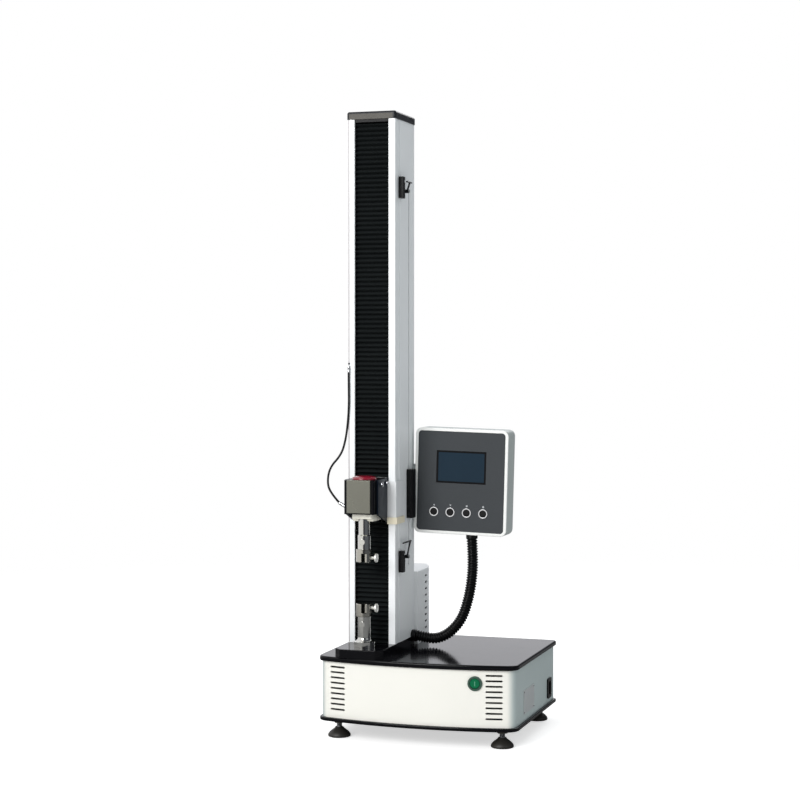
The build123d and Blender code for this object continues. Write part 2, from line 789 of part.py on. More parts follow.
# Saddle: a folded sheet round the column's right front corner, with a thicker band below
saddle_top_z = crosshead_top_z - saddle_drop
saddle_bottom_z = saddle_top_z - saddle_height
with BuildPart() as saddle:
    for height, thickness in ((saddle_height, saddle_thickness), (saddle_band_height, 2 * saddle_thickness)):
        outer_x = column_side + cover_gap + thickness
        inner_y = column_front_y - cover_gap
        with BuildSketch(plan(saddle_bottom_z)):
            with BuildLine():
                Polyline((gusset_outer, inner_y), (column_side + cover_gap, inner_y),
                         (column_side + cover_gap, column_front_y + saddle_depth),
                         (outer_x, column_front_y + saddle_depth), (outer_x, inner_y - thickness),
                         (gusset_outer, inner_y - thickness), (gusset_outer, inner_y))
            make_face()
        extrude(amount=height)
save(saddle.part, "saddle")

# Trigger block on the carriage's stem, which trips the limit switches
trigger_middle_z = crosshead_bottom_z + crosshead_height / 2 + trigger_rise
with BuildPart() as trigger:
    with BuildSketch(side_view(column_side + cover_gap)):
        with Locations((trigger_y, trigger_middle_z)):
            RectangleRounded(trigger_depth, trigger_height, 2)
    extrude(amount=trigger_thickness)
    chamfer(trigger.edges().group_by(Axis.X)[-1], 1)
save(trigger.part, "trigger")


def pleats(bottom_z, top_z):
    """A folded bellows between two levels, with a flat end plate at each."""
    folds = round((top_z - bottom_z) / bellows_pitch)
    pitch = (top_z - bottom_z - 2 * bellows_thickness) / folds
    start_z = bottom_z + bellows_thickness
    reach = bellows_depth - bellows_thickness
    front = [(bellows_front_y + reach * (step % 2), start_z + step * pitch / 2)
             for step in range(2 * folds + 1)]
    back = [(y + bellows_thickness, z) for y, z in reversed(front)]
    with BuildPart() as folded:
        with BuildSketch(side_view(-bellows_half)):
            with BuildLine():
                Polyline(*front, *back, front[0])
            make_face()
            for level in (bottom_z + bellows_thickness / 2, top_z - bellows_thickness / 2):
                with Locations((bellows_front_y + bellows_depth / 2, level)):
                    Rectangle(bellows_depth, bellows_thickness)
        extrude(amount=2 * bellows_half)
    return folded.part


# Bellows above and below the crosshead
bellows_top_z = column_top_z - 5.5
bellows_bottom_z = column_z + 1
save(pleats(crosshead_top_z + 1.5, bellows_top_z), "bellows_upper")
save(pleats(bellows_bottom_z, crosshead_bottom_z - 5.5), "bellows_lower")


def grip_profile(base_z, way):
    """Body of one grip, from its rod's end at base_z; way is 1 when it opens upwards."""
    open_z = base_z + way * grip_height
    with BuildPart() as body:
        with BuildSketch(plan(base_z)):
            with Locations((0, load_y)):
                Circle(grip_diameter / 2)
            with Locations((grip_flat + grip_diameter / 2, load_y)):
                Rectangle(grip_diameter, grip_diameter, mode=Mode.SUBTRACT)
        extrude(amount=way * grip_height)
        chamfer(body.edges().group_by(Axis.Z)[0] + body.edges().group_by(Axis.Z)[-1], 0.8)
        with BuildSketch(plan(open_z)):
            with Locations(((jaw_back + jaw_room - fixed_face_offset) / 2, load_y)):
                Rectangle(jaw_back + jaw_room + fixed_face_offset, 2 * grip_diameter)
        extrude(amount=-way * (jaw_height + 1), mode=Mode.SUBTRACT)
        with BuildSketch(side_view(0)):
            with Locations((load_y, open_z - way * jaw_height / 2)):
                Circle(clamp_screw_diameter / 2 + running_clearance)
        extrude(amount=grip_diameter, mode=Mode.SUBTRACT)
        with BuildSketch(plan(base_z)):
            with Locations((0, load_y)):
                Circle(shank_diameter / 2)
        extrude(amount=-way * (shank_length - 1))
        with BuildSketch(Plane.XZ.offset(-load_y)):
            with Locations((column_x, base_z - way * pin_rise)):
                Circle(rod_pin_diameter / 2 + running_clearance)
        extrude(amount=rod_diameter, both=True, mode=Mode.SUBTRACT)
    return body.part


def jaw_profile(base_z, way):
    """Moving jaw with a grooved face, at rest against the screw."""
    open_z = base_z + way * grip_height
    with BuildPart() as jaw:
        with BuildSketch(plan(open_z)):
            with Locations((jaw_back - jaw_thickness / 2, load_y)):
                Rectangle(jaw_thickness, jaw_width)
        extrude(amount=-way * jaw_height)
        with BuildSketch(Plane.XZ.offset(-(load_y + jaw_width / 2))):
            for row in range(5):
                groove_z = open_z - way * (1.5 + row * 3)
                with Locations((column_x + jaw_back - jaw_thickness, groove_z)):
                    Rectangle(1, 1, rotation=45)
        extrude(amount=jaw_width, mode=Mode.SUBTRACT)
    return jaw.part


def knob_profile(base_z, way):
    """Clamp screw with its scalloped knob."""
    screw_z = base_z + way * (grip_height - jaw_height / 2)
    knob_x = grip_flat + knob_clearance
    with BuildPart() as knob:
        with BuildSketch(side_view(jaw_back + running_clearance)):
            with Locations((load_y, screw_z)):
                Circle(clamp_screw_diameter / 2)
        extrude(amount=knob_x - jaw_back - running_clearance)
        with BuildSketch(side_view(knob_x)):
            with Locations((load_y, screw_z)):
                Circle(knob_diameter / 2)
                with PolarLocations(knob_diameter / 2 + 0.6, 12):
                    Circle(1.4, mode=Mode.SUBTRACT)
        extrude(amount=knob_thickness)
        with BuildSketch(side_view(knob_x + knob_thickness)):
            with Locations((load_y, screw_z)):
                Circle(knob_diameter * 0.3)
        extrude(amount=1, taper=30)
    return knob.part


# Upper grip below the crosshead, opening downwards
jaw_back = jaw_gap - fixed_face_offset + jaw_thickness
save(grip_profile(upper_rod_bottom_z, -1), "upper_grip")
save(jaw_profile(upper_rod_bottom_z, -1), "upper_jaw")
save(knob_profile(upper_rod_bottom_z, -1), "upper_knob")

# Lower grip on the seat, opening upwards
save(grip_profile(lower_grip_bottom_z, 1), "lower_grip")
save(jaw_profile(lower_grip_bottom_z, 1), "lower_jaw")
save(knob_profile(lower_grip_bottom_z, 1), "lower_knob")


def cross_pin(height):
    """Pin through a rod and its grip's shank, with a flat head in front."""
    with BuildPart() as pin:
        with BuildSketch(Plane.XZ.offset(-(load_y + rod_diameter / 2 + 1))):
            with Locations((column_x, height)):
                Circle(rod_pin_diameter / 2)
        extrude(amount=rod_diameter + 2)
        with BuildSketch(Plane.XZ.offset(-(load_y - rod_diameter / 2 - 1))):
            with Locations((column_x, height)):
                Circle(rod_pin_diameter / 2 + 1.5)
        extrude(amount=2)
    return pin.part


# Upper rod, screwed into the load cell and bored for the grip's shank and cross pin
socket_height = shank_length + 2
with BuildPart() as upper_rod:
    with BuildSketch(plan(upper_rod_bottom_z)):
        with Locations((0, load_y)):
            Circle(rod_diameter / 2)
    extrude(amount=socket_height)
    chamfer(upper_rod.edges().group_by(Axis.Z)[-1], (rod_diameter - rod_neck_diameter) / 2 - 0.1)
    with BuildSketch(plan(upper_rod_bottom_z + socket_height)):
        with Locations((0, load_y)):
            Circle(rod_neck_diameter / 2)
    extrude(amount=cell_bottom_z - upper_rod_bottom_z - socket_height)
    with BuildSketch(plan(upper_rod_bottom_z)):
        with Locations((0, load_y)):
            Circle(shank_diameter / 2 + running_clearance)
    extrude(amount=shank_length, mode=Mode.SUBTRACT)
    with BuildSketch(Plane.XZ.offset(-load_y)):
        with Locations((column_x, upper_rod_bottom_z + pin_rise)):
            Circle(rod_pin_diameter / 2 + running_clearance)
    extrude(amount=rod_diameter, both=True, mode=Mode.SUBTRACT)
    add(cross_pin(upper_rod_bottom_z + pin_rise))
save(upper_rod.part, "upper_rod")

# Lower rod with its flange on the seat plate
flare_radius = (flange_diameter - rod_diameter) / 2
flange_top_z = column_z + flange_thickness
with BuildPart() as lower_rod:
    with BuildSketch(Plane.XZ.offset(-load_y)):
        with BuildLine():
            Polyline((column_x, lower_grip_bottom_z), (column_x, column_z),
                     (column_x + flange_diameter / 2, column_z),
                     (column_x + flange_diameter / 2, flange_top_z))
            RadiusArc((column_x + flange_diameter / 2, flange_top_z),
                      (column_x + rod_diameter / 2, flange_top_z + flare_radius), flare_radius)
            Polyline((column_x + rod_diameter / 2, flange_top_z + flare_radius),
                     (column_x + rod_diameter / 2, lower_grip_bottom_z), (column_x, lower_grip_bottom_z))
        make_face()
    revolve(axis=Axis((column_x, load_y, 0), (0, 0, 1)))
    with BuildSketch(plan(lower_grip_bottom_z)):
        with Locations((0, load_y)):
            Circle(shank_diameter / 2 + running_clearance)
    extrude(amount=-shank_length, mode=Mode.SUBTRACT)
    with BuildSketch(Plane.XZ.offset(-load_y)):
        with Locations((column_x, lower_grip_bottom_z - pin_rise)):
            Circle(rod_pin_diameter / 2 + running_clearance)
    extrude(amount=rod_diameter, both=True, mode=Mode.SUBTRACT)
    add(cross_pin(lower_grip_bottom_z - pin_rise))
save(lower_rod.part, "lower_rod")

# Limit switches on the column's side: moulded bodies, steel plates with pins, and two levers
switch_levels = (upper_switch_z, lower_switch_z)
pivot_levels = (upper_switch_z - upper_pivot_drop, lower_switch_z + lower_pivot_rise)
plate_front_y = switch_front_y + 4
with BuildPart() as limit_switches:
    for level in switch_levels:
        with BuildSketch(plan(level - switch_height / 2)):
            with Locations((column_side + switch_thickness / 2, switch_front_y + switch_depth / 2)):
                Rectangle(switch_thickness, switch_depth)
            with Locations((column_side, plate_front_y + switch_depth)):
                Rectangle(2 * switch_plate_thickness, 2 * switch_depth, mode=Mode.SUBTRACT)
        extrude(amount=switch_height)
        with BuildSketch(side_view(column_side + switch_thickness)):
            with Locations((switch_front_y + switch_depth, level + switch_height / 2 - switch_notch_drop)):
                Rectangle(2 * switch_notch_depth, switch_notch_height)
        extrude(amount=-switch_notch_depth, mode=Mode.SUBTRACT)
        with BuildSketch(side_view(column_side + switch_thickness)):
            with Locations(*[(switch_front_y + 8, level + rise) for rise in switch_screw_rises]):
                Circle(switch_screw_diameter / 2)
        extrude(amount=-1.5, mode=Mode.SUBTRACT)
save(limit_switches.part, "limit_switches")

hub_start = column_side + lever_hub_offset
with BuildPart() as switch_plates:
    for level, pivot_z in zip(switch_levels, pivot_levels):
        with BuildSketch(side_view(column_side)):
            with Locations((plate_front_y + switch_plate_depth / 2, level)):
                RectangleRounded(switch_plate_depth, switch_height - 4, 2)
        extrude(amount=switch_plate_thickness)
        with BuildSketch(side_view(column_side)):
            with Locations((lever_pivot_y, pivot_z)):
                Circle(lever_pin_diameter / 2 + 1.2)
        extrude(amount=lever_hub_offset - 0.3)
        with BuildSketch(side_view(column_side)):
            with Locations((lever_pivot_y, pivot_z)):
                Circle(lever_pin_diameter / 2)
        extrude(amount=lever_hub_offset + lever_hub_length + 1.5)
        with BuildSketch(side_view(hub_start + lever_hub_length + 0.3)):
            with Locations((lever_pivot_y, pivot_z)):
                Circle(lever_pin_diameter / 2 + 1)
        extrude(amount=1.2)
save(switch_plates.part, "switch_plates")


def lever_profile(pivot_z, tip_y, tip_z, bar_front_y, bar_back_y):
    """Hub on the switch's pin, a flat arm up to its tip, and a round bar across the tip."""
    run_y = tip_y - lever_pivot_y
    run_z = tip_z - pivot_z
    arm_x = hub_start + (lever_hub_length - lever_arm_thickness) / 2
    with BuildPart() as lever:
        with BuildSketch(side_view(hub_start)):
            with Locations((lever_pivot_y, pivot_z)):
                Circle(lever_hub_diameter / 2)
        extrude(amount=lever_hub_length)
        with BuildSketch(side_view(arm_x)):
            with Locations((lever_pivot_y + run_y / 2, pivot_z + run_z / 2)):
                SlotCenterToCenter(hypot(run_y, run_z), lever_arm_width,
                                   rotation=degrees(atan2(run_z, run_y)))
        extrude(amount=lever_arm_thickness)
        with BuildSketch(Plane.XZ.offset(-bar_back_y)):
            with Locations((column_x + arm_x + lever_arm_thickness / 2, tip_z)):
                Circle(lever_bar_diameter / 2)
        extrude(amount=bar_back_y - bar_front_y)
        with BuildSketch(side_view(hub_start)):
            with Locations((lever_pivot_y, pivot_z)):
                Circle(lever_pin_diameter / 2 + running_clearance)
        extrude(amount=lever_hub_length, mode=Mode.SUBTRACT)
    return lever.part


upper_pivot_z, lower_pivot_z = pivot_levels
save(lever_profile(upper_pivot_z, lever_pivot_y + upper_arm_reach, upper_pivot_z + upper_bar_rise,
                   lever_pivot_y + upper_bar_front, lever_pivot_y + upper_bar_back), "lever_upper")
save(lever_profile(lower_pivot_z, lever_pivot_y + lower_arm_reach, lower_pivot_z + lower_bar_rise,
                   lever_pivot_y + lower_bar_front, lever_pivot_y + lower_bar_back), "lever_lower")

# Control panel: a moulded shell with a proud rim and a ledge for the face
roll = radians(panel_roll)
panel_plane = Plane(origin=(panel_x, panel_front_y, panel_z), x_dir=(cos(roll), 0, -sin(roll)),
                    z_dir=(0, -1, 0))
face_width_inside = panel_width - 2 * panel_rim
face_height_inside = panel_height - 2 * panel_rim
inner_corner = panel_corner_radius - panel_rim
hose_top_x, hose_top_y, hose_top_z = column_x + hose_offset, panel_front_y + hose_setback, panel_z - hose_drop
with BuildPart() as panel_shell:
    with BuildSketch(panel_plane):
        RectangleRounded(panel_width, panel_height, panel_corner_radius)
    extrude(amount=-panel_depth)
    fillet(panel_shell.edges().group_by(Axis.Y)[0], 1.5)
    fillet(panel_shell.edges().group_by(Axis.Y)[-1], 5)
    with BuildSketch(panel_plane):
        RectangleRounded(face_width_inside + 0.2, face_height_inside + 0.2, inner_corner)
    extrude(amount=-face_recess - panel_face_thickness, mode=Mode.SUBTRACT)
    with BuildSketch(panel_plane):
        RectangleRounded(face_width_inside - 8, face_height_inside - 8, inner_corner)
    extrude(amount=-rim_depth, mode=Mode.SUBTRACT)
    with BuildSketch(panel_plane.offset(-rim_depth)):
        RectangleRounded(panel_width - 2 * panel_wall, panel_height - 2 * panel_wall,
                         panel_corner_radius - panel_wall)
    extrude(amount=panel_wall + rim_depth - panel_depth, mode=Mode.SUBTRACT)
    with BuildSketch(Plane.XY.offset(hose_top_z)):
        with Locations((hose_top_x, hose_top_y)):
            Circle(nipple_diameter / 2 + 0.3)
    extrude(amount=20, mode=Mode.SUBTRACT)
save(panel_shell.part, "panel_shell")

# Panel face with the screen's window and four button holes
button_places = [(button_centre + (column - 1.5) * button_pitch, -button_drop) for column in range(4)]
sleeve_outer = button_diameter + 2.4
with BuildPart() as panel_face:
    with BuildSketch(panel_plane.offset(-face_recess)):
        RectangleRounded(face_width_inside, face_height_inside, inner_corner)
        with Locations((0, screen_rise)):
            Rectangle(screen_width, screen_height, mode=Mode.SUBTRACT)
        with Locations(*button_places):
            Circle(sleeve_outer / 2 + running_clearance, mode=Mode.SUBTRACT)
    extrude(amount=-panel_face_thickness)
save(panel_face.part, "panel_face")

# Screen, seated behind the face with its glass in the window
with BuildPart() as screen:
    with BuildSketch(panel_plane.offset(-face_recess - panel_face_thickness)):
        with Locations((0, screen_rise)):
            Rectangle(screen_width + 8, screen_height + 8)
    extrude(amount=-4)
    with BuildSketch(panel_plane.offset(-face_recess - panel_face_thickness)):
        with Locations((0, screen_rise)):
            Rectangle(screen_width - 0.3, screen_height - 0.3)
    extrude(amount=panel_face_thickness - 0.6)
save(screen.part, "screen")

# Four push buttons in metal rings
with BuildPart() as button_rings:
    with BuildSketch(panel_plane.offset(-face_recess)):
        with Locations(*button_places):
            Circle(button_ring_diameter / 2)
            Circle(button_diameter / 2 + running_clearance, mode=Mode.SUBTRACT)
    extrude(amount=1.8, taper=20)
    with BuildSketch(panel_plane.offset(-face_recess)):
        with Locations(*button_places):
            Circle(sleeve_outer / 2)
            Circle(button_diameter / 2 + running_clearance, mode=Mode.SUBTRACT)
    extrude(amount=-8)
save(button_rings.part, "button_rings")

for index, place in enumerate(button_places, start=1):
    with BuildPart() as button:
        with BuildSketch(panel_plane.offset(-rim_depth)):
            with Locations(place):
                Circle(button_diameter / 2)
        extrude(amount=rim_depth + button_travel)
        fillet(button.edges().group_by(Axis.Y)[0], 1.2)
    save(button.part, f"button_{index}")

# Bracket that carries the panel from the column's back
panel_back_y = panel_front_y + panel_depth
with BuildPart() as panel_bracket:
    with BuildSketch(plan(panel_z - bracket_height / 2)):
        with BuildLine():
            Polyline((-bracket_hold, column_back_y), (column_side, column_back_y),
                     (column_side, panel_back_y), (bracket_reach, panel_back_y),
                     (bracket_reach, panel_back_y + bracket_thickness),
                     (column_side - bracket_thickness, panel_back_y + bracket_thickness),
                     (column_side - bracket_thickness, column_back_y + bracket_thickness),
                     (-bracket_hold, column_back_y + bracket_thickness), (-bracket_hold, column_back_y))
        make_face()
    extrude(amount=bracket_height)
    chamfer(panel_bracket.edges().filter_by(Axis.Y).group_by(Axis.X)[-1], 8)
save(panel_bracket.part, "panel_bracket")

# Hose from the panel's underside into the column, and the lead from the column to the load cell
hose_route = [(hose_top_x, hose_top_y, hose_top_z), (hose_top_x + 1, hose_top_y - 0.5, hose_top_z - 46)]
for x, y, z in [(153.75, 33, 80.5), (139.75, 31.5, 46.5), (116.75, 29.5, 21.5), (87.75, 27, 6.5),
                (54.75, 25, 2)]:
    hose_route.append((column_x + x, y, column_z + z))
cable_route = []
for x, y, z in [(50.25, 16.5, 270), (51.25, 19.5, 243), (56.25, 34.5, 207), (60.75, 44.5, 170),
                (59.95, 22.5, 129.5), (66.45, -11.5, 104), (70.65, -39.5, 78), (71.05, -33.5, 43),
                (50.25, -33.5, 31)]:
    cable_route.append((column_x - x, column_front_y + y, crosshead_bottom_z + z))
column_right_x = column_x + column_side
groove_left_x = column_x - column_side + side_groove_depth


def cord(route, diameter, name):
    """A round tube along straight runs joined by arcs as large as the runs allow."""
    points = [Vector(*point) for point in route]
    runs = [after - before for before, after in zip(points, points[1:])]
    turns = [radians(before.get_angle(after)) for before, after in zip(runs, runs[1:])]
    radii = [0.45 * min(before.length, after.length) / tan(turn / 2)
             for before, after, turn in zip(runs, runs[1:], turns)]
    with BuildPart() as tube:
        with BuildLine() as path:
            FilletPolyline(*points, radius=radii)
        with BuildSketch(Plane(origin=points[0], z_dir=runs[0])):
            Circle(diameter / 2)
        sweep()
    length = path.wires()[0].length
    print(name, "length", round(length, 1), "radii", [round(radius, 1) for radius in radii])
    print(name, "volume over section times length",
          round(tube.part.volume / (pi * diameter**2 / 4 * length), 4))
    return tube.part


save(cord(hose_route, hose_diameter, "hose"), "hose")
save(cord(cable_route, cable_diameter, "cable"), "cable")

# Glands for both: a hexagon and a collar at each end of the hose, and a clamp block for the lead
hose_start = Vector(*hose_route[0])
hose_end = Vector(*hose_route[-1])
cable_start = Vector(*cable_route[0])
with BuildPart() as glands:
    with BuildSketch(Plane.XY.offset(hose_top_z + 2)):
        with Locations((hose_top_x, hose_top_y)):
            RegularPolygon(gland_width / 2, 6, major_radius=False)
    extrude(amount=hexagon_height)
    with BuildSketch(Plane.XY.offset(hose_top_z + 2)):
        with Locations((hose_top_x, hose_top_y)):
            Circle(nipple_diameter / 2)
    extrude(amount=14)
    with BuildSketch(Plane(origin=hose_start, z_dir=hose_start - Vector(*hose_route[1]))):
        Circle(collar_diameter / 2)
    extrude(amount=4)
    with BuildSketch(Plane.YZ.offset(column_right_x)):
        with Locations((hose_end.Y, hose_end.Z)):
            RegularPolygon(gland_width / 2, 6, major_radius=False, rotation=30)
    extrude(amount=hose_end.X - column_right_x - 2.5)
    with BuildSketch(Plane(origin=hose_end, z_dir=hose_end - Vector(*hose_route[-2]))):
        Circle(collar_diameter / 2)
    extrude(amount=6)
    with BuildSketch(Plane.YZ.offset(groove_left_x)):
        with Locations((cable_start.Y, cable_start.Z + clamp_rise)):
            RectangleRounded(clamp_depth, clamp_height, 2)
    extrude(amount=-clamp_reach)
    with BuildSketch(Plane.XY.offset(cable_start.Z + 1)):
        with Locations((cable_start.X, cable_start.Y)):
            RegularPolygon(cable_nut_width / 2, 6, major_radius=False)
    extrude(amount=cable_nut_height)
    with BuildSketch(Plane(origin=cable_start, z_dir=cable_start - Vector(*cable_route[1]))):
        Circle(cable_diameter / 2 + 1)
    extrude(amount=3)
save(glands.part, "glands")

# Plug of the lead on the crosshead's left gusset, with a slanting sleeve
last_run = Vector(*cable_route[-1]) - Vector(*cable_route[-2])
sleeve_start = Vector(*cable_route[-1]) + last_run.normalized() * sleeve_length
with BuildPart() as cable_plug:
    with BuildSketch(side_view(-gusset_outer)):
        with Locations((sleeve_start.Y, sleeve_start.Z)):
            Circle(plug_diameter / 2)
    extrude(amount=-plug_height)
    with BuildSketch(Plane(origin=Vector(*cable_route[-1]), z_dir=last_run)):
        Circle(sleeve_diameter / 2)
    extrude(amount=sleeve_length - 1)
save(cable_plug.part, "cable_plug")
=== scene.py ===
import math
import bpy
import numpy as np
from mathutils import Matrix


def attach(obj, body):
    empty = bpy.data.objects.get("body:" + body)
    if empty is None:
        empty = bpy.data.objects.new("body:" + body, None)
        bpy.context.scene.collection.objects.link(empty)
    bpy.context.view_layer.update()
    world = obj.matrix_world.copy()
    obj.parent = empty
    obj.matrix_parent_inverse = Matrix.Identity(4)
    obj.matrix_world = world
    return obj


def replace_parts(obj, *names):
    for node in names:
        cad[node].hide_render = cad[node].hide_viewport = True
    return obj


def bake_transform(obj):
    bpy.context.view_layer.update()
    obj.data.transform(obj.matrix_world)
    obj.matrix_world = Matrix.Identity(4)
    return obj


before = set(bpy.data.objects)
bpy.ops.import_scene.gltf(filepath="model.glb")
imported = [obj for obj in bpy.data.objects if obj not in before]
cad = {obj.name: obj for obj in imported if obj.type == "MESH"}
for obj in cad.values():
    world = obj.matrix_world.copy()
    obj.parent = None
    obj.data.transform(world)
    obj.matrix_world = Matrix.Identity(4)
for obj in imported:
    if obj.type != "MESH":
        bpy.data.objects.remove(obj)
scene = bpy.context.scene
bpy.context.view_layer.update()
print("frame loaded:", len(cad), "nodes")

columnX, loadY = -0.10375, -0.1165    # middle of the column, and the load axis in front of it
alongX, alongY, upwards = np.eye(3)
rng = np.random.default_rng(7)


# 8-bit screen colour to the linear one that shaders take
def shade(red, green, blue):
    shares = (red / 255, green / 255, blue / 255)
    return tuple(c / 12.92 if c < 11 / 255 else ((c + 0.055) / 1.055) ** 2.4 for c in shares)


# A new node: a value that is another node's output is linked to the input, the others are set on it
def node(tree, kind, values, **settings):
    made = tree.nodes.new("ShaderNode" + kind)
    for name, value in settings.items():
        setattr(made, name, value)
    for name, value in values.items():
        if isinstance(value, bpy.types.NodeSocket):
            tree.links.new(value, made.inputs[name])
        else:
            made.inputs[name].default_value = value
    return made


# What a finish has where its own dictionary says nothing else
plainFinish = {"mottle": 0.03, "wear": 0.05, "patch": 14, "stretch": (1, 1, 1), "grain": 1100,
               "strength": 0.35, "depth": 0.00006, "metal": 0, "specular": 0.5, "coat": 0, "bevel": 0}


# One finish: a broad noise mottles colour and roughness, a fine one stretched by "stretch" gives the grain
def finishOf(tree, itsLook):
    look = {**plainFinish, **itsLook}
    spread, wear = look["mottle"], look["wear"]
    place = node(tree, "TexCoord", {}).outputs["Object"]
    patches = node(tree, "TexNoise", {"Scale": look["patch"], "Detail": 5, "Vector": place})
    broad = patches.outputs["Fac"]
    tint = node(tree, "Mix", {"A": (*[c * (1 - spread) for c in look["colour"]], 1),
                              "B": (*[min(1, c * (1 + spread)) for c in look["colour"]], 1),
                              "Factor": broad}, data_type="RGBA")
    gloss = node(tree, "MapRange", {"From Min": 0.3, "From Max": 0.7, "Value": broad,
                                    "To Min": max(0.02, look["rough"] - wear),
                                    "To Max": look["rough"] + wear})
    drawn = node(tree, "Mapping", {"Scale": look["stretch"], "Vector": place})
    fine = node(tree, "TexNoise", {"Scale": look["grain"], "Detail": 3, "Vector": drawn.outputs["Vector"]})
    bump = node(tree, "Bump", {"Strength": look["strength"], "Distance": look["depth"],
                               "Height": fine.outputs["Fac"]})
    if look["bevel"]:    # rounds the light on sharp folds and machined edges
        rounded = node(tree, "Bevel", {"Radius": look["bevel"]}, samples=4)
        tree.links.new(rounded.outputs["Normal"], bump.inputs["Normal"])
    return node(tree, "BsdfPrincipled", {
        "Base Color": tint.outputs["Result"], "Roughness": gloss.outputs["Result"],
        "Normal": bump.outputs["Normal"], "Metallic": look["metal"], "Specular IOR Level": look["specular"],
        "Coat Weight": look["coat"], "Coat Roughness": 0.08}).outputs["BSDF"]


# 1 inside a box in Object coordinates and 0 outside, by the product of a compare on each axis
def boxMask(tree, low, high, turn=0.0):
    low, high = np.array(low, float), np.array(high, float)
    place = node(tree, "TexCoord", {}).outputs["Object"]
    centred = node(tree, "Mapping", {"Location": (-(low + high) / 2).tolist(), "Vector": place})
    straight = node(tree, "VectorRotate", {"Angle": turn, "Vector": centred.outputs["Vector"]},
                    rotation_type="Y_AXIS")
    apart = node(tree, "SeparateXYZ", {"Vector": straight.outputs["Vector"]})
    mask = None
    for axis, half in zip("XYZ", ((high - low) / 2).tolist()):
        inside = node(tree, "Math", {0: apart.outputs[axis], 1: 0, 2: half}, operation="COMPARE").outputs[0]
        mask = node(tree, "Math", {0: mask, 1: inside}, operation="MULTIPLY").outputs[0] if mask else inside
    return mask


# 0 where the distance from the machine's middle along an axis is under "start", rising smoothly to 1 at "end"
def fadeMask(tree, axis, start, end):
    place = node(tree, "TexCoord", {}).outputs["Object"]
    apart = node(tree, "SeparateXYZ", {"Vector": place})
    away = node(tree, "Math", {0: apart.outputs[axis]}, operation="ABSOLUTE").outputs[0]
    return node(tree, "MapRange", {"From Min": start, "From Max": end, "Value": away},
                interpolation_type="SMOOTHSTEP").outputs["Result"]


# A material of one finish, or of two where the second fills a box or takes over along an axis
def material(name, look, second=None, box=None, turn=0.0, fade=None):
    made = bpy.data.materials.new(name)
    made.use_nodes = True
    tree = made.node_tree
    tree.nodes.clear()
    surface = finishOf(tree, look)
    if second:
        mask = fadeMask(tree, *fade) if fade else boxMask(tree, *box, turn)
        surface = node(tree, "MixShader", {0: mask, 1: surface, 2: finishOf(tree, second)}).outputs[0]
    node(tree, "OutputMaterial", {"Surface": surface})
    return made


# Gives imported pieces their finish
def coat(names, made):
    for name in names.split():
        for place in cad[name].material_slots:
            place.material = made


# Paints
creamPaint = {"colour": shade(240, 239, 232), "rough": 0.42, "coat": 0.1, "mottle": 0.012, "bevel": 0.0006}
# Painted shade: a greyer, greener copy of the cream paint for the base's sides, which get less light than the
# front
shadedSidePaint = {**creamPaint, "colour": shade(177, 190, 190)}
whitePaint = {"colour": shade(247, 250, 252), "rough": 0.36, "coat": 0.2, "mottle": 0.012, "bevel": 0.0006}
glossBlack = {"colour": shade(12, 12, 15), "rough": 0.11, "wear": 0.03, "bevel": 0.0008, "specular": 0.16,
              "strength": 0.1, "mottle": 0.1}
capBlack = {**glossBlack, "rough": 0.3, "colour": shade(34, 36, 39)}
capGrey = {"colour": shade(77, 74, 68), "rough": 0.42, "specular": 0.3, "mottle": 0.07,
           "stretch": (0.03, 1, 1)}
gussetBlue = {"colour": shade(26, 33, 44), "rough": 0.3, "metal": 0.1, "specular": 0.1, "mottle": 0.05,
              "bevel": 0.0005}
coverBlack = {"colour": shade(11, 12, 15), "rough": 0.3, "specular": 0.1, "mottle": 0.08, "bevel": 0.0006}
saddleGrey = {"colour": shade(238, 240, 242), "rough": 0.36, "coat": 0.1, "mottle": 0.02, "bevel": 0.0006}
armCream = {"colour": shade(255, 251, 238), "rough": 0.4, "mottle": 0.02, "bevel": 0.0006}
bandCream = {**armCream, "colour": shade(246, 237, 212)}

# Metals
zinc = {"colour": shade(188, 190, 192), "rough": 0.3, "metal": 1, "mottle": 0.06, "wear": 0.08,
        "bevel": 0.0003}
steel = {"colour": shade(180, 178, 170), "rough": 0.15, "metal": 1, "mottle": 0.05, "bevel": 0.0004,
         "stretch": (1, 1, 12), "grain": 700}
turnedSteel = {"colour": shade(206, 206, 202), "rough": 0.1, "metal": 1, "mottle": 0.04,
               "stretch": (0.02, 0.02, 1), "grain": 2600, "depth": 0.00002, "bevel": 0.0004}
chrome = {"colour": shade(214, 215, 218), "rough": 0.11, "metal": 1, "mottle": 0.03, "wear": 0.03,
          "bevel": 0.0003}
alloy = {"colour": shade(168, 170, 172), "rough": 0.36, "metal": 1, "mottle": 0.06, "bevel": 0.0004}
faceGrey = {"colour": shade(121, 121, 112), "rough": 0.27, "metal": 0.8, "mottle": 0.04, "bevel": 0.0005,
            "stretch": (0.03, 1, 1), "grain": 1500}

# Plastics, rubber and cloth
plasticBlack = {"colour": shade(14, 14, 16), "rough": 0.38, "specular": 0.22, "mottle": 0.08, "bevel": 0.0003}
rubber = {"colour": shade(40, 38, 35), "rough": 0.5, "grain": 700, "mottle": 0.12, "strength": 0.5}
domeRed = {"colour": shade(142, 22, 44), "rough": 0.22, "coat": 0.6, "mottle": 0.06}
panelWhite = {"colour": shade(244, 245, 243), "rough": 0.4, "coat": 0.1, "mottle": 0.012}
# Painted shade: a darker, greener copy of the panel's white for the shell's rear part, whose sides get less
# light
panelShadedBack = {**panelWhite, "colour": shade(180, 188, 186)}
panelGrey = {"colour": shade(68, 71, 74), "rough": 0.5, "specular": 0.1, "mottle": 0.05, "grain": 1900,
             "strength": 0.5}
displayDark = {"colour": shade(28, 46, 60), "rough": 0.16, "specular": 0.12, "mottle": 0.14, "patch": 9,
               "strength": 0.02}
displayEdge = {"colour": shade(9, 11, 14), "rough": 0.16, "specular": 0.12, "mottle": 0.1, "strength": 0.02}
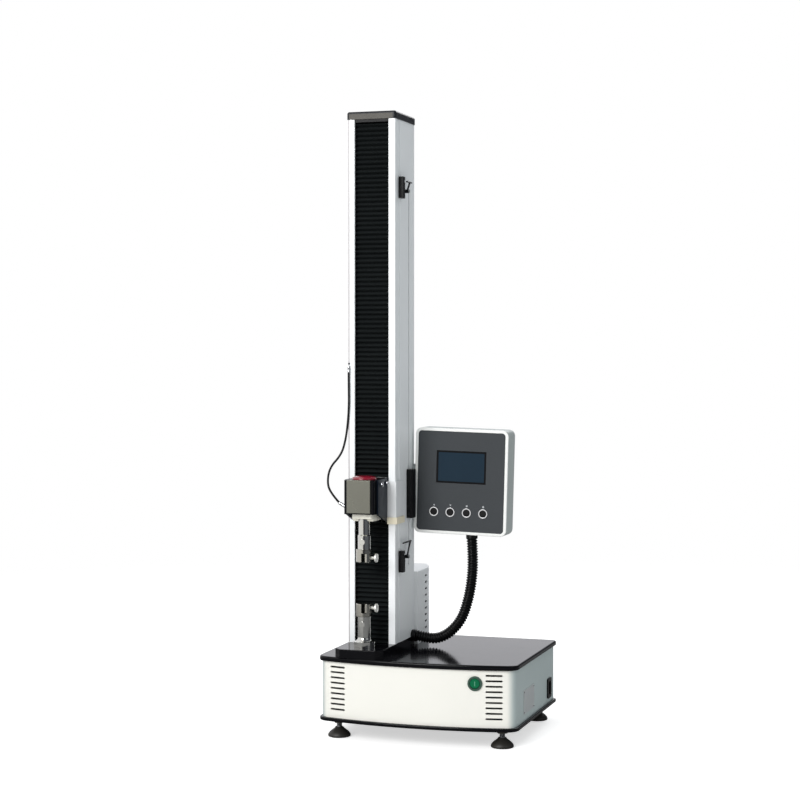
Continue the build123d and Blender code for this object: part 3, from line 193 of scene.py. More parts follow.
switchGreen = {"colour": shade(4, 104, 66), "rough": 0.3, "specular": 0.2, "mottle": 0.06, "bevel": 0.0005}
bezelGrey = {"colour": shade(66, 88, 78), "rough": 0.3, "specular": 0.2, "mottle": 0.05, "bevel": 0.0004}
leadBlack = {"colour": shade(14, 14, 16), "rough": 0.45, "specular": 0.3, "mottle": 0.1, "grain": 900}
pleatBlack = {"colour": shade(30, 34, 35), "rough": 0.6, "grain": 1500, "strength": 0.6, "mottle": 0.12,
              "specular": 0.15}

# Where a piece has two finishes: along an axis, or inside a box of two corners
# Painted shade: the darker side paint takes over on the base's sides, fading in across the rounded edges
shadedSideFade = ("X", 0.166, 0.1795)    # the base's rounded edges, between front and sides
capInset = ((columnX - 0.0425, -0.0781, 1.1135), (columnX + 0.0405, -0.0776, 1.1236))
inletPins = ((0.1658, 0.1145, 0.057), (0.180, 0.1195, 0.074))
saddleBand = ((-0.3, -0.3, 0.37), (0.3, 0.3, 0.3951))
# Painted shade: the panel shell's rear part, where the darker copy of its white goes
shellShadedRear = ((-0.1, 0.0205, 0.3), (0.2, 0.2, 0.6))

coat("housing", material("creamPaint", creamPaint, shadedSidePaint, fade=shadedSideFade))
coat("column", material("columnPaint", whitePaint))
coat("rear_cover panel_bracket", material("coverPaint", whitePaint))
coat("deck seat_plate bottom_plate", material("glossBlack", glossBlack))
coat("column_cap", material("capBlack", capBlack, capGrey, capInset))
coat("switch_plates", material("zincPlate", zinc))
coat("foot_nuts", material("nutDark", {**zinc, "colour": shade(96, 94, 88), "rough": 0.35}))
coat("lever_upper lever_lower", material("leverSteel", {**zinc, "colour": shade(66, 67, 70), "rough": 0.36}))
coat("switch_bezel", material("bezelGrey", bezelGrey))
coat("power_rocker", material("switchGreen", switchGreen))
coat("power_inlet", material("inletBlack", plasticBlack, chrome, inletPins))
coat("trigger limit_switches button_1 button_2 button_3 button_4", material("plasticBlack", plasticBlack))
coat("ball_screw guide_shafts", material("groundSteel", chrome))
coat("screw_bearings carriage screw_pulley motor_pulley load_cell motor_drive", material("castAlloy", alloy))
coat("ball_nut upper_grip lower_grip upper_jaw lower_jaw", material("gripSteel", steel))
coat("upper_rod lower_rod", material("turnedSteel", turnedSteel))
coat("button_rings", material("chrome", chrome))
coat("timing_belt", material("beltRubber", rubber))
coat("motor", material("motorBlack", {**plasticBlack, "rough": 0.5}))
coat("crosshead_arm", material("armCream", armCream))
coat("crosshead_cover", material("coverBlack", coverBlack))
coat("crosshead_face", material("faceGrey", faceGrey))
coat("gusset_plates", material("gussetBlue", gussetBlue))
coat("saddle", material("saddlePaint", saddleGrey, bandCream, saddleBand))
coat("panel_shell", material("panelWhite", panelWhite, panelShadedBack, shellShadedRear))
coat("panel_face", material("panelGrey", panelGrey))
coat("cable_plug", material("plugMetal", chrome))

# The panel leans by 1.5 degrees: its own axes run to the right, up, and out of its face; "lit" is half the
# bright part of the display inside its black edge
panel = {"middle": (0.0366, 0.019, 0.455), "lean": math.radians(1.5), "display": 0.0265,
         "lit": (0.0438, 0.02, 0.0265)}
panelMiddle = np.array(panel["middle"])
panelRight = np.array([math.cos(panel["lean"]), 0, -math.sin(panel["lean"])])
panelUp = np.array([math.sin(panel["lean"]), 0, math.cos(panel["lean"])])
litMiddle = panelMiddle + panel["display"] * panelUp
coat("screen", material("displayGlass", displayEdge, displayDark,
                        (litMiddle - panel["lit"], litMiddle + panel["lit"]), -panel["lean"]))
print("finishes done")


# A mesh object in the machine's frame, smooth but for edges sharper than "sharp" degrees
def piece(name, points, faces, made, body=None, sharp=38):
    mesh = bpy.data.meshes.new(name)
    mesh.from_pydata(np.asarray(points, float).tolist(), [], faces)
    mesh.shade_smooth()
    mesh.set_sharp_from_angle(angle=math.radians(sharp))
    mesh.materials.append(made)
    thing = bpy.data.objects.new(name, mesh)
    scene.collection.objects.link(thing)
    if body:
        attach(thing, body)
    return thing


# Quads between rings of "count" points each, starting at index "first"
def ringFaces(rings, count, first=0):
    k = np.arange(count)
    start = first + count * np.arange(rings - 1)[:, None]
    a, b = start + k, start + (k + 1) % count
    return np.stack([a, b, b + count, a + count], axis=2).reshape(-1, 4).tolist()


# Triangles from one tip to a ring, in the ring's own turn or against it
def tipFaces(tip, first, count, forwards):
    k = np.arange(count)
    a, b = first + k, first + (k + 1) % count
    return np.stack([np.full(count, tip), *((a, b) if forwards else (b, a))], axis=1).tolist()


# Several shapes as one: the faces of each are numbered on from the points before it
def joined(shapes):
    faces, start = [], 0
    for points, itsFaces in shapes:
        faces += [[i + start for i in face] for face in itsFaces]
        start += len(points)
    return np.concatenate([points for points, itsFaces in shapes]), faces


# Right-handed axes with the third along "axis"
def axesFor(axis):
    third = np.array(axis, float) / np.linalg.norm(axis)
    first = np.cross(upwards if abs(third[2]) < 0.9 else alongX, third)
    first /= np.linalg.norm(first)
    return first, np.cross(third, first), third


# Turned shapes: rows of (radius, height, sides) swept round an axis; with sides the ring is a polygon of that
# size across flats, which is the radius over the cosine of the angle from the middle of a flat
def turned(rows, origin, axis, count=36):
    first, second, third = axesFor(axis)
    angles = np.arange(count) / count * 2 * math.pi
    around = np.cos(angles)[:, None] * first + np.sin(angles)[:, None] * second
    radius, height, sides = np.array(rows[1:-1], float).T[:, :, None]
    step = 2 * math.pi / np.maximum(sides, 1)
    reach = radius / np.where(sides > 0, np.cos((angles + step / 2) % step - step / 2), 1)
    rings = np.array(origin) + height[:, :, None] * third + reach[:, :, None] * around
    ends = [np.array(origin) + rows[k][1] * third for k in (0, -1)]
    points = np.concatenate([ends[:1], rings.reshape(-1, 3), ends[1:]])
    last = len(points) - 1
    faces = ringFaces(len(rows) - 2, count, 1)
    faces += tipFaces(0, 1, count, False) + tipFaces(last, last - count, count, True)
    return points, faces


# Screw heads with a hexagon socket, all of one kind in one piece; each place is a point and a direction. A
# head starts a little inside the surface, and its socket has a chamfer and a floor drawn to a point
def screwHeads(name, places, size, made, body):
    radius, height, soft, socket, deep = (size[k] for k in ("radius", "height", "soft", "socket", "deep"))
    sunk, out, down, point = 0.0002, 0.0003, 0.0002, 0.0003
    rows = [(0, -sunk, 0), (radius, -sunk, 0), (radius, height - soft, 0)]
    rows += [(radius - soft * (1 - math.cos(a)), height - soft * (1 - math.sin(a)), 0)
             for a in np.radians([30, 60, 90])]
    rows += [(socket + out, height, 6), (socket, height - down, 6), (socket, height - deep, 6),
             (0, height - deep - point, 0)]
    points, faces = joined([turned(rows, origin, axis) for origin, axis in places])
    return piece(name, points, faces, made, body, 30)


brightLook = material("screwBright", chrome)
darkLook = material("screwDark", {**steel, "colour": shade(52, 52, 55), "rough": 0.35})
gussetScrew = {"radius": 0.00408, "height": 0.0037, "soft": 0.0007, "socket": 0.0018, "deep": 0.0011,
               "out": 0.03115, "along": (0.0015, 0.031), "level": 0.457}
gussetPlaces = [((columnX + side * gussetScrew["out"], loadY + y, gussetScrew["level"]), (side, 0, 0))
                for side in (-1, 1) for y in gussetScrew["along"]]
screwHeads("gussetScrews", gussetPlaces, gussetScrew, brightLook, "crosshead")
switchScrew = {"radius": 0.00155, "height": 0.0011, "soft": 0.0004, "socket": 0.0006, "deep": 0.0005,
               "out": 0.05175, "y": -0.048, "switches": (0.9915, 0.3125), "rises": (-0.012, 0.005)}
screwHeads("switchScrews", [((columnX + switchScrew["out"], switchScrew["y"], level + rise), (1, 0, 0))
                            for level in switchScrew["switches"] for rise in switchScrew["rises"]],
           switchScrew, brightLook, "root")
capScrew = {"radius": 0.0034, "height": 0.0014, "soft": 0.0012, "socket": 0.0014, "deep": 0.0009,
            "across": (-0.034, 0.034), "along": (-0.062, 0.023), "level": 1.128}
screwHeads("capScrews", [((columnX + x, y, capScrew["level"]), (0, 0, 1)) for x in capScrew["across"]
                         for y in capScrew["along"]], capScrew, darkLook, "root")
panelScrew = {"radius": 0.003, "height": 0.0016, "soft": 0.0013, "socket": 0.0012, "deep": 0.0009,
              "back": 0.053, "across": (-0.074, 0.074), "up": (-0.083, 0.083), "levels": (0.440, 0.470),
              "panelFlange": ((-0.02, 0.035), 0.076), "columnFlange": ((-0.028, 0.02), 0.0415)}
backPlaces = [panelMiddle + u * panelRight + v * panelUp + panelScrew["back"] * alongY
              for u in panelScrew["across"] for v in panelScrew["up"]]
for start, (across, y) in ((0, panelScrew["panelFlange"]), (columnX, panelScrew["columnFlange"])):
    backPlaces += [(start + x, y, z) for x in across for z in panelScrew["levels"]]
screwHeads("panelScrews", [(place, (0, 1, 0)) for place in backPlaces], panelScrew, brightLook, "root")
coverScrew = {"radius": 0.0024, "height": 0.0012, "soft": 0.001, "socket": 0.001, "deep": 0.0007,
              "across": (-0.018, 0.018), "y": 0.163, "levels": (0.161, 0.272)}
screwHeads("coverScrews", [((columnX + x, coverScrew["y"], z), (0, 1, 0)) for x in coverScrew["across"]
                           for z in coverScrew["levels"]], coverScrew, brightLook, "root")
print("screws done")


# Rows of a thread: crests and roots in turn, half a pitch apart
def threadRows(crest, root, start, half, count):
    return [(crest if k % 2 else root, start + half * k, 0) for k in range(count)]


# Levelling feet: a bell-shaped rubber pad turned round a threaded stud
foot = {"bell": [(0, 0, 0), (0.0186, 0, 0), (0.0200, 0.0007, 0), (0.0205, 0.0019, 0), (0.0204, 0.0034, 0),
                 (0.0196, 0.0055, 0), (0.0178, 0.0079, 0), (0.0152, 0.0103, 0), (0.0122, 0.0125, 0),
                 (0.0096, 0.0145, 0), (0.0078, 0.0163, 0), (0.0070, 0.0176, 0), (0.0052, 0.0181, 0)],
        "thread": (0.0050, 0.0044, 0.0186, 0.00075, 17), "tip": [(0.0044, 0.044, 0), (0, 0.0445, 0)],
        "studBox": ((-0.3, -0.3, 0.0179), (0.3, 0.3, 0.06))}
footRows = foot["bell"] + threadRows(*foot["thread"]) + foot["tip"]
footLook = material("footRubber", rubber, zinc, foot["studBox"])
for name in ("foot_1", "foot_2", "foot_3", "foot_4"):
    spot = np.mean([cad[name].matrix_world @ v.co for v in cad[name].data.vertices], axis=0)
    points, faces = turned(footRows, (spot[0], spot[1], 0), upwards, 56)
    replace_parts(piece(name + "_bell", points, faces, footLook, name, 40), name)

# Clamp screws: a thin disc with a knurled rim on a threaded spindle
clampScrew = {"thread": (0.0030, 0.0025, 0.0090, 0.0005, 21), "start": [(0, 0.0085, 0), (0.0029, 0.0087, 0)],
              "disc": [(0.0045, 0.0198, 0), (0.0047, 0.0206, 0), (0.0072, 0.0208, 0), (0.0079, 0.0213, 22),
                       (0.0079, 0.0239, 22), (0.0072, 0.0245, 0), (0.0050, 0.0247, 0), (0.0042, 0.0242, 0),
                       (0, 0.0241, 0)],
              "levels": {"upper_knob": 0.325, "lower_knob": 0.2351}}
discRows = clampScrew["start"] + threadRows(*clampScrew["thread"]) + clampScrew["disc"]
# Partly painted reflection: the chrome disc is given a paler, rougher and less metallic finish, so its face
# shows bright where a mirror would show the dim room
discBrightLook = material("discSteel", {**chrome, "colour": shade(238, 237, 232), "rough": 0.42, "metal": 0.6})
for name, level in clampScrew["levels"].items():
    points, faces = turned(discRows, (columnX, loadY, level), alongX, 66)
    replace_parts(piece(name + "_disc", points, faces, discBrightLook, name, 30), name)

# Dome on the crosshead, flatter at the middle, with a bolt through it down to the load cell
dome = {"bolt": [(0, 0.4495, 0), (0.006, 0.4495, 0), (0.006, 0.4658, 0)],
        "cap": [(0.0219, 0.4658, 0), (0.02235, 0.4663, 0), (0.02235, 0.4675, 0), (0.0216, 0.4689, 0),
                (0.0198, 0.4703, 0), (0.0172, 0.4714, 0), (0.0135, 0.4721, 0), (0.0085, 0.4725, 0),
                (0.0035, 0.4727, 0), (0, 0.4727, 0)]}
points, faces = turned(dome["bolt"] + dome["cap"], (columnX, loadY, 0), upwards, 64)
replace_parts(piece("domeCap", points, faces, material("domeRed", domeRed), "crosshead", 40), "load_cap")

# Lip of the arm, a channel that wraps round the front of the upper rod: its outline seen from above is a
# rounded rectangle less a half circle about the load axis; the lowest ring is drawn in a little, as a chamfer
lip = {"half": 0.0187, "front": -0.0166, "back": 0.004, "bore": 0.0124, "soft": 0.003, "low": 0.3955,
       "high": 0.4068, "chamfer": 0.0005, "drawnIn": 0.02}
angles = np.radians([0, 30, 60, 90])
corner = np.column_stack([-lip["half"] + lip["soft"] * (1 - np.cos(angles)),
                          lip["front"] + lip["soft"] * (1 - np.sin(angles))])
leftSide = np.concatenate([[(-lip["half"], lip["back"])], corner])
angles = np.radians(np.linspace(0, -180, 25))
bore = lip["bore"] * np.column_stack([np.cos(angles), np.sin(angles)])
rim = np.concatenate([leftSide, leftSide[::-1] * (-1, 1), bore]) + (columnX, loadY)
count = len(rim)
points = [np.column_stack([rim + (rim.mean(0) - rim) * inwards, np.full(count, z)])
          for inwards, z in ((0, lip["low"] + lip["chamfer"]), (lip["drawnIn"], lip["low"]),
                             (lip["drawnIn"], lip["high"]))]
faces = ringFaces(3, count) + [list(range(2 * count, 3 * count)), list(range(count))[::-1]]
piece("armLip", np.concatenate(points), faces, material("lipCream", armCream), "crosshead", 30)
print("feet, knobs and crosshead pieces done")


# A thin plate of any outline in its own u, v axes: the outline at the back and at the front, and a ring drawn
# in by "inset" that makes the front edge soft
def plate(name, outline, origin, u, v, thickness, made, body, inset=0.0):
    flat = np.array(outline, float)
    centre = flat.mean(0)
    small = centre + (flat - centre) * (1 - inset / np.abs(flat - centre).max())
    levels = [(flat, -0.0001), (flat, thickness - inset), (small, thickness)]
    points = [np.array(origin) + ring[:, :1] * u + ring[:, 1:] * v + h * np.cross(u, v) for ring, h in levels]
    count = len(flat)
    faces = ringFaces(3, count) + [list(range(count))[::-1], list(range(2 * count, 3 * count))]
    return piece(name, np.concatenate(points), faces, made, body, 25)


# Outline of a rectangle whose corners are quarter circles
def roundedBox(width, height, radius, steps=6):
    arcs = []
    for right, up, start in ((1, 1, 0), (-1, 1, 90), (-1, -1, 180), (1, -1, 270)):
        angles = np.radians(np.linspace(start, start + 90, steps + 1))
        arcs.append(np.column_stack([right * (width / 2 - radius) + radius * np.cos(angles),
                                     up * (height / 2 - radius) + radius * np.sin(angles)]))
    return np.concatenate(arcs)


# Bare rating plate with four rivets on the base's right side
ratingPlate = {"middle": (0.180, -0.036, 0.072), "width": 0.078, "height": 0.043, "corner": 0.003,
               "thickness": 0.0006, "inset": 0.0002}
rivet = {"radius": 0.0016, "height": 0.0009, "across": 0.035, "up": 0.018}
plateLook = material("plateBright", {"colour": shade(190, 194, 195), "rough": 0.42, "metal": 0.25,
                                     "mottle": 0.03, "stretch": (1, 0.03, 1), "grain": 1500})
plate("ratingPlate", roundedBox(ratingPlate["width"], ratingPlate["height"], ratingPlate["corner"]),
      ratingPlate["middle"], alongY, upwards, ratingPlate["thickness"], plateLook, "root",
      ratingPlate["inset"])
rivetRows = [(0, -0.0002, 0), (rivet["radius"], -0.0002, 0)]
rivetRows += [(rivet["radius"] * math.cos(a), rivet["height"] * math.sin(a), 0)
              for a in np.radians([10, 35, 60, 80])]
rivetRows += [(0, rivet["height"], 0)]
places = [np.add(ratingPlate["middle"], (ratingPlate["thickness"], side * rivet["across"], end * rivet["up"]))
          for side in (-1, 1) for end in (-1, 1)]
piece("plateRivets", *joined([turned(rivetRows, place, alongX, 20) for place in places]), brightLook, "root")

# Printed symbols over the four buttons: up, down, stop and return
symbol = {"size": 0.0019, "rise": -0.0445, "thickness": 0.00012, "pitch": 0.0313, "shift": -0.003,
          "proud": 0.001}
inkLook = material("inkWhite", {"colour": shade(170, 173, 176), "rough": 0.5, "mottle": 0.03})
angles = np.linspace(0, 2 * math.pi, 24, endpoint=False)
shapes = {"up": [(-1, -0.8), (1, -0.8), (0, 1)], "down": [(0, -1), (1, 0.8), (-1, 0.8)],
          "stop": [(-0.85, -0.85), (0.85, -0.85), (0.85, 0.85), (-0.85, 0.85)],
          "return": np.column_stack([np.cos(angles), np.sin(angles)])}
for column, (word, outline) in enumerate(shapes.items()):
    sideways = symbol["shift"] + (column - 1.5) * symbol["pitch"]
    origin = panelMiddle + sideways * panelRight + symbol["rise"] * panelUp + symbol["proud"] * alongY
    plate("symbol_" + word, np.array(outline) * symbol["size"], origin, panelRight, panelUp,
          symbol["thickness"], inkLook, "root")

# Line on the power rocker, on the bowed front, which is an arc through the base's two front corners
rocker = {"x": 0.112, "z": 0.116, "deep": 0.005, "proud": 0.0026, "width": 0.0011, "height": 0.0085,
          "corner": 0.0004, "thickness": 0.00015}
bowedFront = {"half": 0.185, "rise": 0.023, "y": -0.165}
bow = (bowedFront["half"]**2 + bowedFront["rise"]**2) / (2 * bowedFront["rise"]) - rocker["deep"]
turn = math.asin(rocker["x"] / bow)
rockerOut = np.array([math.sin(turn), -math.cos(turn), 0])
rockerY = bowedFront["y"] + rocker["deep"] + bow * (1 - math.cos(turn))
plate("rockerLine", roundedBox(rocker["width"], rocker["height"], rocker["corner"]),
      (rocker["x"], rockerY, rocker["z"]) + rocker["proud"] * rockerOut,
      np.cross(upwards, rockerOut), upwards, rocker["thickness"],
      material("lineGreen", {"colour": shade(112, 176, 146), "rough": 0.4}), "rocker")

# Faint seam down the column's left front strip
seam = {"x": columnX - 0.0432, "y": -0.0765, "width": 0.0020, "corner": 0.0004, "thickness": 0.0002,
        "low": 0.1655, "high": 1.1135}
seamLook = material("seamTint", {"colour": shade(190, 184, 186), "rough": 0.45, "mottle": 0.03})
plate("frontSeam", roundedBox(seam["width"], seam["high"] - seam["low"], seam["corner"], 2),
      (seam["x"], seam["y"], (seam["low"] + seam["high"]) / 2), alongX, upwards, seam["thickness"],
      seamLook, "root")

# Clamp bar that holds the top fold of the bellows in the column's slot
clampBar = {"width": 0.0646, "height": 0.0053, "corner": 0.0008, "y": -0.0752, "z": 1.1111,
            "thickness": 0.0011, "inset": 0.0003}
plate("bellowsClamp", roundedBox(clampBar["width"], clampBar["height"], clampBar["corner"]),
      (columnX, clampBar["y"], clampBar["z"]), alongX, upwards, clampBar["thickness"],
      material("clampBlack", {**plasticBlack, "specular": 0.15}), "root", clampBar["inset"])
print("plates done")


# Pleated bellows: at each level the depth follows a triangle wave with rounded folds, with a little slack;
# cut into groups of levels at set shares of the height: those at the fixed end go with the frame, those at
# the far end with the crosshead
def bellows(name, low, high, folds, fixedEnd, made):
    fold = {"front": -0.0721, "reach": 0.0086, "thick": 0.0009, "half": 0.0354, "steps": 10, "columns": 22,
            "slack": 0.0008, "sag": 0.0003, "held": 0.006, "middle": -0.0672, "rounded": 0.38, "taper": 0.05,
            "cuts": [0.004, 0.008, 0.016, 0.032, 0.064, 0.125, 0.25, 0.375, 0.5]}
    levels = np.linspace(low, high, folds * fold["steps"] + 1)
    phase = (levels - low) / (high - low) * folds
    triangle = 1 - np.abs(2 * (phase % 1) - 1)
    wave = (1 - fold["rounded"]) * triangle + fold["rounded"] * (0.5 - 0.5 * np.cos(2 * math.pi * phase))
    across = np.linspace(-1, 1, fold["columns"])
    slack = np.repeat(rng.uniform(0, fold["slack"], folds + 1), fold["steps"])[: len(levels)]
    slack = np.convolve(np.pad(slack, 4, mode="edge"), np.ones(9) / 9, mode="valid")
    depth = fold["front"] + slack[:, None] * (1 - across**2)
    depth = depth + fold["reach"] * wave[:, None] * (1 - fold["taper"] * across**2)
    sag = fold["sag"] * (1 - across**2)[None, :] * np.sin(math.pi * phase / folds)[:, None]
    front = np.stack([np.broadcast_to(columnX + across * fold["half"], depth.shape), depth,
                      levels[:, None] - sag], axis=2)
    back = front + (0, fold["thick"], 0)
    share = (levels - low) / (high - low)
    weight = share if fixedEnd == "low" else 1 - share
    marks = fold["cuts"] + [1 - m for m in fold["cuts"][-2::-1]]
    cuts = sorted({0, len(levels) - 1, *[int(np.abs(weight - m).argmin()) for m in marks]})
    for index, (a, b) in enumerate(zip(cuts, cuts[1:])):
        loop = np.concatenate([front[a:b + 1], back[a:b + 1, ::-1]], axis=1)
        rows, count = loop.shape[:2]
        k = np.arange(fold["columns"] - 1)
        strip = np.stack([k, k + 1, count - 2 - k, count - 1 - k], axis=1)    # closes the first row of points
        faces = ringFaces(rows, count) + strip[:, ::-1].tolist() + (strip + (rows - 1) * count).tolist()
        part = piece(f"{name}_{index}", loop.reshape(-1, 3), faces, made, sharp=50)
        ends = weight[a], weight[b]
        if max(ends) < fold["held"] or min(ends) > 1 - fold["held"]:
            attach(part, "root" if max(ends) < fold["held"] else "crosshead")
        else:    # the others stay unattached, with their place baked into their points
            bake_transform(part)
        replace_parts(part, name)


pleatLook = material("pleatBlack", pleatBlack)
bellows("bellows_upper", 0.4675, 1.1135, 76, "high", pleatLook)
bellows("bellows_lower", 0.1655, 0.3855, 26, "low", pleatLook)
print("bellows done")


# The line of a cord: a curve of order 3 through the route's control points, read back from the curve itself
def cordLine(name, route):
    curve = bpy.data.curves.new(name, "CURVE")
    curve.dimensions = "3D"
    curve.resolution_u = 32
    spline = curve.splines.new("NURBS")
    spline.points.add(len(route) - 1)
    for point, place in zip(spline.points, route):
        point.co = (*place, 1)
    spline.order_u = 3
    spline.use_endpoint_u = True
    holder = bpy.data.objects.new(name, curve)
    scene.collection.objects.link(holder)
    bpy.context.view_layer.update()
    mesh = bpy.data.meshes.new_from_object(holder.evaluated_get(bpy.context.evaluated_depsgraph_get()))
    line = np.array([v.co for v in mesh.vertices])
    bpy.data.objects.remove(holder)
    bpy.data.meshes.remove(mesh)
    return line


# A tube along a line: rings square to the line, each one's side turned on from the last without a twist; the
# radius at distance s is radiusAt(s), and both ends are closed
def tube(name, line, radiusAt, step, count, made):
    along = np.concatenate([[0], np.cumsum(np.linalg.norm(np.diff(line, axis=0), axis=1))])
    stops = np.linspace(0, along[-1], int(along[-1] / step) + 1)
    middle = np.stack([np.interp(stops, along, line[:, k]) for k in range(3)], axis=1)
    ahead = np.gradient(middle, axis=0)
    ahead /= np.linalg.norm(ahead, axis=1)[:, None]
    side = np.cross(ahead[0], (0, 1, 0.2))
    angles = np.arange(count) / count * 2 * math.pi
    rings = []
    for centre, forward, s in zip(middle, ahead, stops):
        side = side - forward * side.dot(forward)
        side /= np.linalg.norm(side)
        around = np.cos(angles)[:, None] * side + np.sin(angles)[:, None] * np.cross(forward, side)
        rings.append(centre + radiusAt(s) * around)
    points = np.concatenate([middle[:1], *rings, middle[-1:]])
    last = len(points) - 1
    faces = ringFaces(len(middle), count, 1)
    faces += tipFaces(0, 1, count, False) + tipFaces(last, last - count, count, True)
    return piece(name, points, faces, made, sharp=75), float(along[-1])


# Corrugated hose from the panel's underside into the column's side, with a plain cuff at each end
hose = {"radius": 0.0102, "rib": 0.0049, "depth": 0.0021,
        "route": [(0.054, 0.034, 0.350), (0.0562, 0.0338, 0.318), (0.0553, 0.0334, 0.281),
                  (0.0490, 0.0325, 0.240), (0.0365, 0.0310, 0.2005), (0.0140, 0.0293, 0.1740),
                  (-0.0110, 0.0275, 0.1618), (-0.0320, 0.0262, 0.1635), (-0.049, 0.025, 0.1665)],
        "cuff": [(0, 0, 0), (0.0102, 0, 0), (0.0108, 0.0007, 0), (0.0108, 0.0080, 0), (0.0104, 0.0090, 0),
                 (0, 0.0091, 0)],
        "cuffPlaces": [((0.054, 0.034, 0.3495), (0, 0, 1)), ((-0.0502, 0.025, 0.1663), (-1, 0, 0))]}
hoseLine = cordLine("hoseLine", hose["route"])
hoseLook = material("hoseBlack", {**leadBlack, "colour": shade(9, 10, 11), "rough": 0.32})


# Largest on each rib and less by "depth" between two, with the dip narrower than the rib
def hoseRadius(s):
    return hose["radius"] - hose["depth"] * (0.5 - 0.5 * math.cos(2 * math.pi * s / hose["rib"])) ** 1.4


hoseTube, hoseLength = tube("hoseTube", hoseLine, hoseRadius, hose["rib"] / 10, 36, hoseLook)
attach(hoseTube, "root")
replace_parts(hoseTube, "hose")
points, faces = joined([turned(hose["cuff"], origin, axis) for origin, axis in hose["cuffPlaces"]])
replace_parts(piece("hoseCuffs", points, faces, hoseLook, "root"), "glands")

# Lead of the load cell: out of the seam on the column's front through a small ferrule, then in a bow to the
# plug
lead = {"radius": 0.00195, "held": (-0.147, -0.079, 0.652), "free": (-0.170, -0.1, 0.480),
        "route": [(-0.1468, -0.0790, 0.6580), (-0.1466, -0.0792, 0.630), (-0.1462, -0.0792, 0.602),
                  (-0.1480, -0.0782, 0.572), (-0.1530, -0.0765, 0.536), (-0.1610, -0.0785, 0.507),
                  (-0.1785, -0.0930, 0.484), (-0.1780, -0.1075, 0.458), (-0.1700, -0.1125, 0.440),
                  (-0.154, -0.110, 0.422)]}
leadLine = cordLine("leadLine", lead["route"])
leadTube, leadLength = tube("leadTube", leadLine, lambda s: lead["radius"], 0.0012, 18,
                            material("leadBlack", leadBlack))
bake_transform(leadTube)
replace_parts(leadTube, "cable")
ferrule = {"place": (-0.1468, -0.0788, 0.6580),
           "rows": [(0, -0.0015, 0), (0.0021, -0.0015, 0), (0.0025, -0.0011, 0), (0.0025, 0.0030, 0),
                    (0.0023, 0.0034, 0), (0.0023, 0.0040, 0), (0.0025, 0.0044, 0), (0.0025, 0.0100, 0),
                    (0.0021, 0.0106, 0), (0, 0.0107, 0)]}
piece("leadFerrule", *turned(ferrule["rows"], ferrule["place"], upwards),
      material("ferruleGrey", {**zinc, "colour": shade(206, 208, 210)}), "root")
clipScrew = {"radius": 0.0018, "height": 0.0012, "soft": 0.0006, "socket": 0.0007, "deep": 0.0005,
             "place": (-0.1468, -0.0765, 0.6725)}
screwHeads("clipScrew", [(clipScrew["place"], (0, -1, 0))], clipScrew, darkLook, "root")
print("cords done:", round(hoseLength, 4), round(leadLength, 4))

# Pale floor that fades into the white background, so that only the shadow near the machine shows: a disc of
# rings about its middle, lit a little more where the camera sees it and dimmer where glossy pieces mirror it
floor = {"radius": 3.2, "inner": 0.4, "rings": 8, "count": 64, "fadeFrom": 1.1, "fadeTo": 2.8, "lift": 0.58,
         "tone": (0.86, 0.9), "mirrored": 0.28}
angles = np.arange(floor["count"]) / floor["count"] * 2 * math.pi
reach = np.linspace(floor["inner"], floor["radius"], floor["rings"])[:, None]
around = np.column_stack([np.cos(angles), np.sin(angles), np.zeros_like(angles)])
points = (reach[:, :, None] * around).reshape(-1, 3)
faces = tipFaces(0, 1, floor["count"], True)
faces += [face[::-1] for face in ringFaces(floor["rings"], floor["count"], 1)]
floorLook = bpy.data.materials.new("floorPale")
floorLook.use_nodes = True
tree = floorLook.node_tree
tree.nodes.clear()
ray = node(tree, "LightPath", {}).outputs
place = node(tree, "TexCoord", {}).outputs["Object"]
away = node(tree, "VectorMath", {0: place}, operation="LENGTH").outputs["Value"]
fade = node(tree, "MapRange", {"From Min": floor["fadeFrom"], "From Max": floor["fadeTo"], "Value": away},
            interpolation_type="SMOOTHSTEP")
patches = node(tree, "TexNoise", {"Scale": 3, "Vector": place})
low, high = floor["tone"]
tone = node(tree, "Mix", {"A": (low, low, low, 1), "B": (high, high, high, 1),
                          "Factor": patches.outputs["Fac"]}, data_type="RGBA")
mirror = node(tree, "Mix", {"A": tone.outputs["Result"], "B": (*[floor["mirrored"]] * 3, 1),
                            "Factor": ray["Is Glossy Ray"]}, data_type="RGBA")
diffuse = node(tree, "BsdfDiffuse", {"Color": mirror.outputs["Result"]})
lift = node(tree, "Math", {0: ray["Is Camera Ray"], 1: floor["lift"]}, operation="MULTIPLY")
glow = node(tree, "Emission", {"Color": (1, 1, 1, 1), "Strength": lift.outputs[0]})
lit = node(tree, "AddShader", {0: diffuse.outputs[0], 1: glow.outputs[0]})
clear = node(tree, "BsdfTransparent", {})
surface = node(tree, "MixShader", {0: fade.outputs["Result"], 1: lit.outputs[0], 2: clear.outputs[0]})
node(tree, "OutputMaterial", {"Surface": surface.outputs[0]})
piece("floor", np.concatenate([[(0, 0, 0)], points]), faces, floorLook)

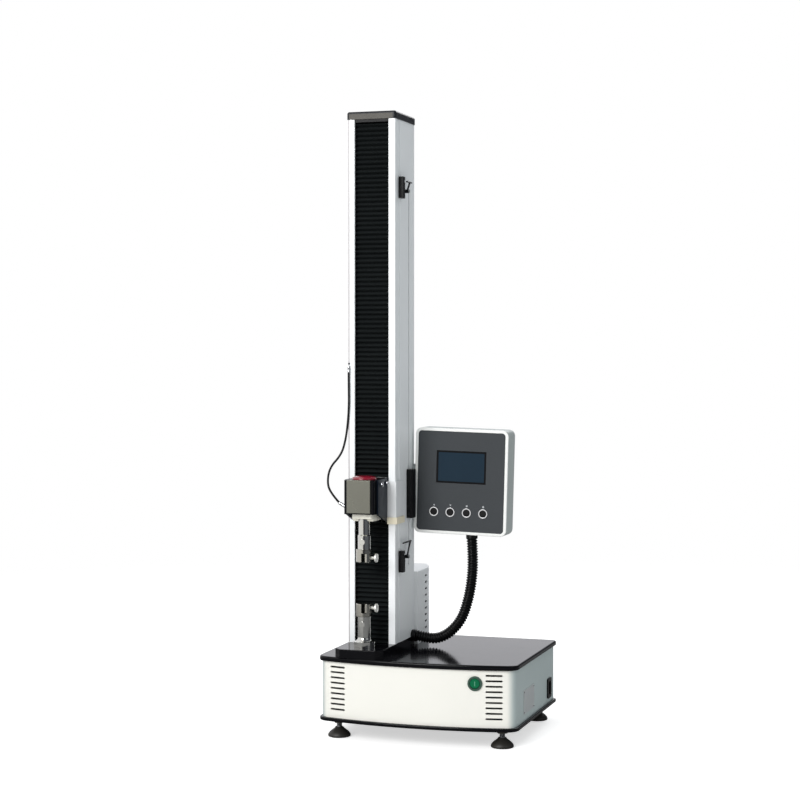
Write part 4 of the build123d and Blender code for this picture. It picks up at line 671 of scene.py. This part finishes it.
# World: white where the camera looks past the machine, a plain level for the light that falls on it, and in
# reflections the same white behind and to the left, with a dim room in front as in a studio. The place of a
# band is its heading: 0 on the left, 0.25 in front, 0.5 on the right and 0.75 behind
sky = {"white": 1.0,
       "room": [(0.0, (1, 1, 1)), (0.222, (1, 0.99, 0.97)), (0.245, (0.07, 0.07, 0.08)),
                (0.31, (0.05, 0.05, 0.06)), (0.34, (0.13, 0.14, 0.16)), (0.48, (0.12, 0.13, 0.145)),
                (0.54, (0.05, 0.05, 0.06)), (0.73, (0.11, 0.115, 0.13)), (0.772, (1, 1, 1.05)),
                (0.88, (1, 1, 1.02)), (1.0, (1, 1, 1))],
       "soft": [(0.0, (0.54, 0.54, 0.54)), (0.25, (0.5, 0.495, 0.48)), (0.4, (0.43, 0.45, 0.455)),
                (0.55, (0.45, 0.48, 0.495)), (0.75, (0.48, 0.49, 0.5)), (1.0, (0.54, 0.54, 0.54))]}
world = bpy.data.worlds.new("studio")
scene.world = world
world.use_nodes = True
tree = world.node_tree
tree.nodes.clear()
ray = node(tree, "LightPath", {}).outputs
apart = node(tree, "SeparateXYZ", {"Vector": node(tree, "TexCoord", {}).outputs["Generated"]}).outputs
heading = node(tree, "Math", {0: apart["Y"], 1: apart["X"]}, operation="ARCTAN2").outputs[0]
share = node(tree, "MapRange", {"From Min": -math.pi, "From Max": math.pi, "Value": heading})
bands = {}
for kind in ("room", "soft"):
    ramp = node(tree, "ValToRGB", {"Fac": share.outputs["Result"]})
    stops = ramp.color_ramp.elements
    while len(stops) < len(sky[kind]):
        stops.new(0.5)
    for stop, (place, colour) in zip(stops, sky[kind]):
        stop.position = place
        stop.color = (*colour, 1)
    bands[kind] = node(tree, "Background", {"Color": ramp.outputs["Color"]}).outputs[0]
seen = node(tree, "Background", {"Color": (1, 1, 1, 1), "Strength": sky["white"]}).outputs[0]
around = node(tree, "MixShader", {0: ray["Is Glossy Ray"], 1: bands["soft"], 2: bands["room"]}).outputs[0]
direct = node(tree, "Math", {0: ray["Is Camera Ray"], 1: ray["Is Transmission Ray"]}, operation="MAXIMUM")
whole = node(tree, "MixShader", {0: direct.outputs[0], 1: around, 2: seen})
node(tree, "OutputWorld", {"Surface": whole.outputs[0]})

# Soft round lamps, all aimed at one point: a key from the front left, a weak fill from the right, one behind
lamps = {"key": {"place": (-1.15, -3.95, 2.4), "size": 2.4, "power": 129},
         "fill": {"place": (3.2, -1.6, 1.6), "size": 2.0, "power": 6},
         "back": {"place": (0.6, 3.2, 2.8), "size": 2.0, "power": 36}}
aim = (0, 0, 0.5)
for name, lamp in lamps.items():
    light = bpy.data.lights.new(name, "AREA")
    light.shape = "DISK"
    light.size = lamp["size"]
    light.energy = lamp["power"]
    holder = bpy.data.objects.new(name, light)
    scene.collection.objects.link(holder)
    axes = np.column_stack([*axesFor(np.array(lamp["place"]) - aim), lamp["place"]])
    holder.matrix_world = Matrix([*axes.tolist(), [0, 0, 0, 1]])

# Camera at the photograph's viewing angle
view = {"lens": 83.25, "place": (0.9768, -3.2467, 0.7015), "tilt": 88.382, "heading": 17.94}
camera = bpy.data.objects.new("camera", bpy.data.cameras.new("camera"))
scene.collection.objects.link(camera)
camera.data.lens = view["lens"]
camera.data.sensor_width = 36
camera.location = view["place"]
camera.rotation_euler = (math.radians(view["tilt"]), 0, math.radians(view["heading"]))
scene.camera = camera
scene.view_settings.view_transform = "Standard"

bpy.context.view_layer.update()
print("scene done")
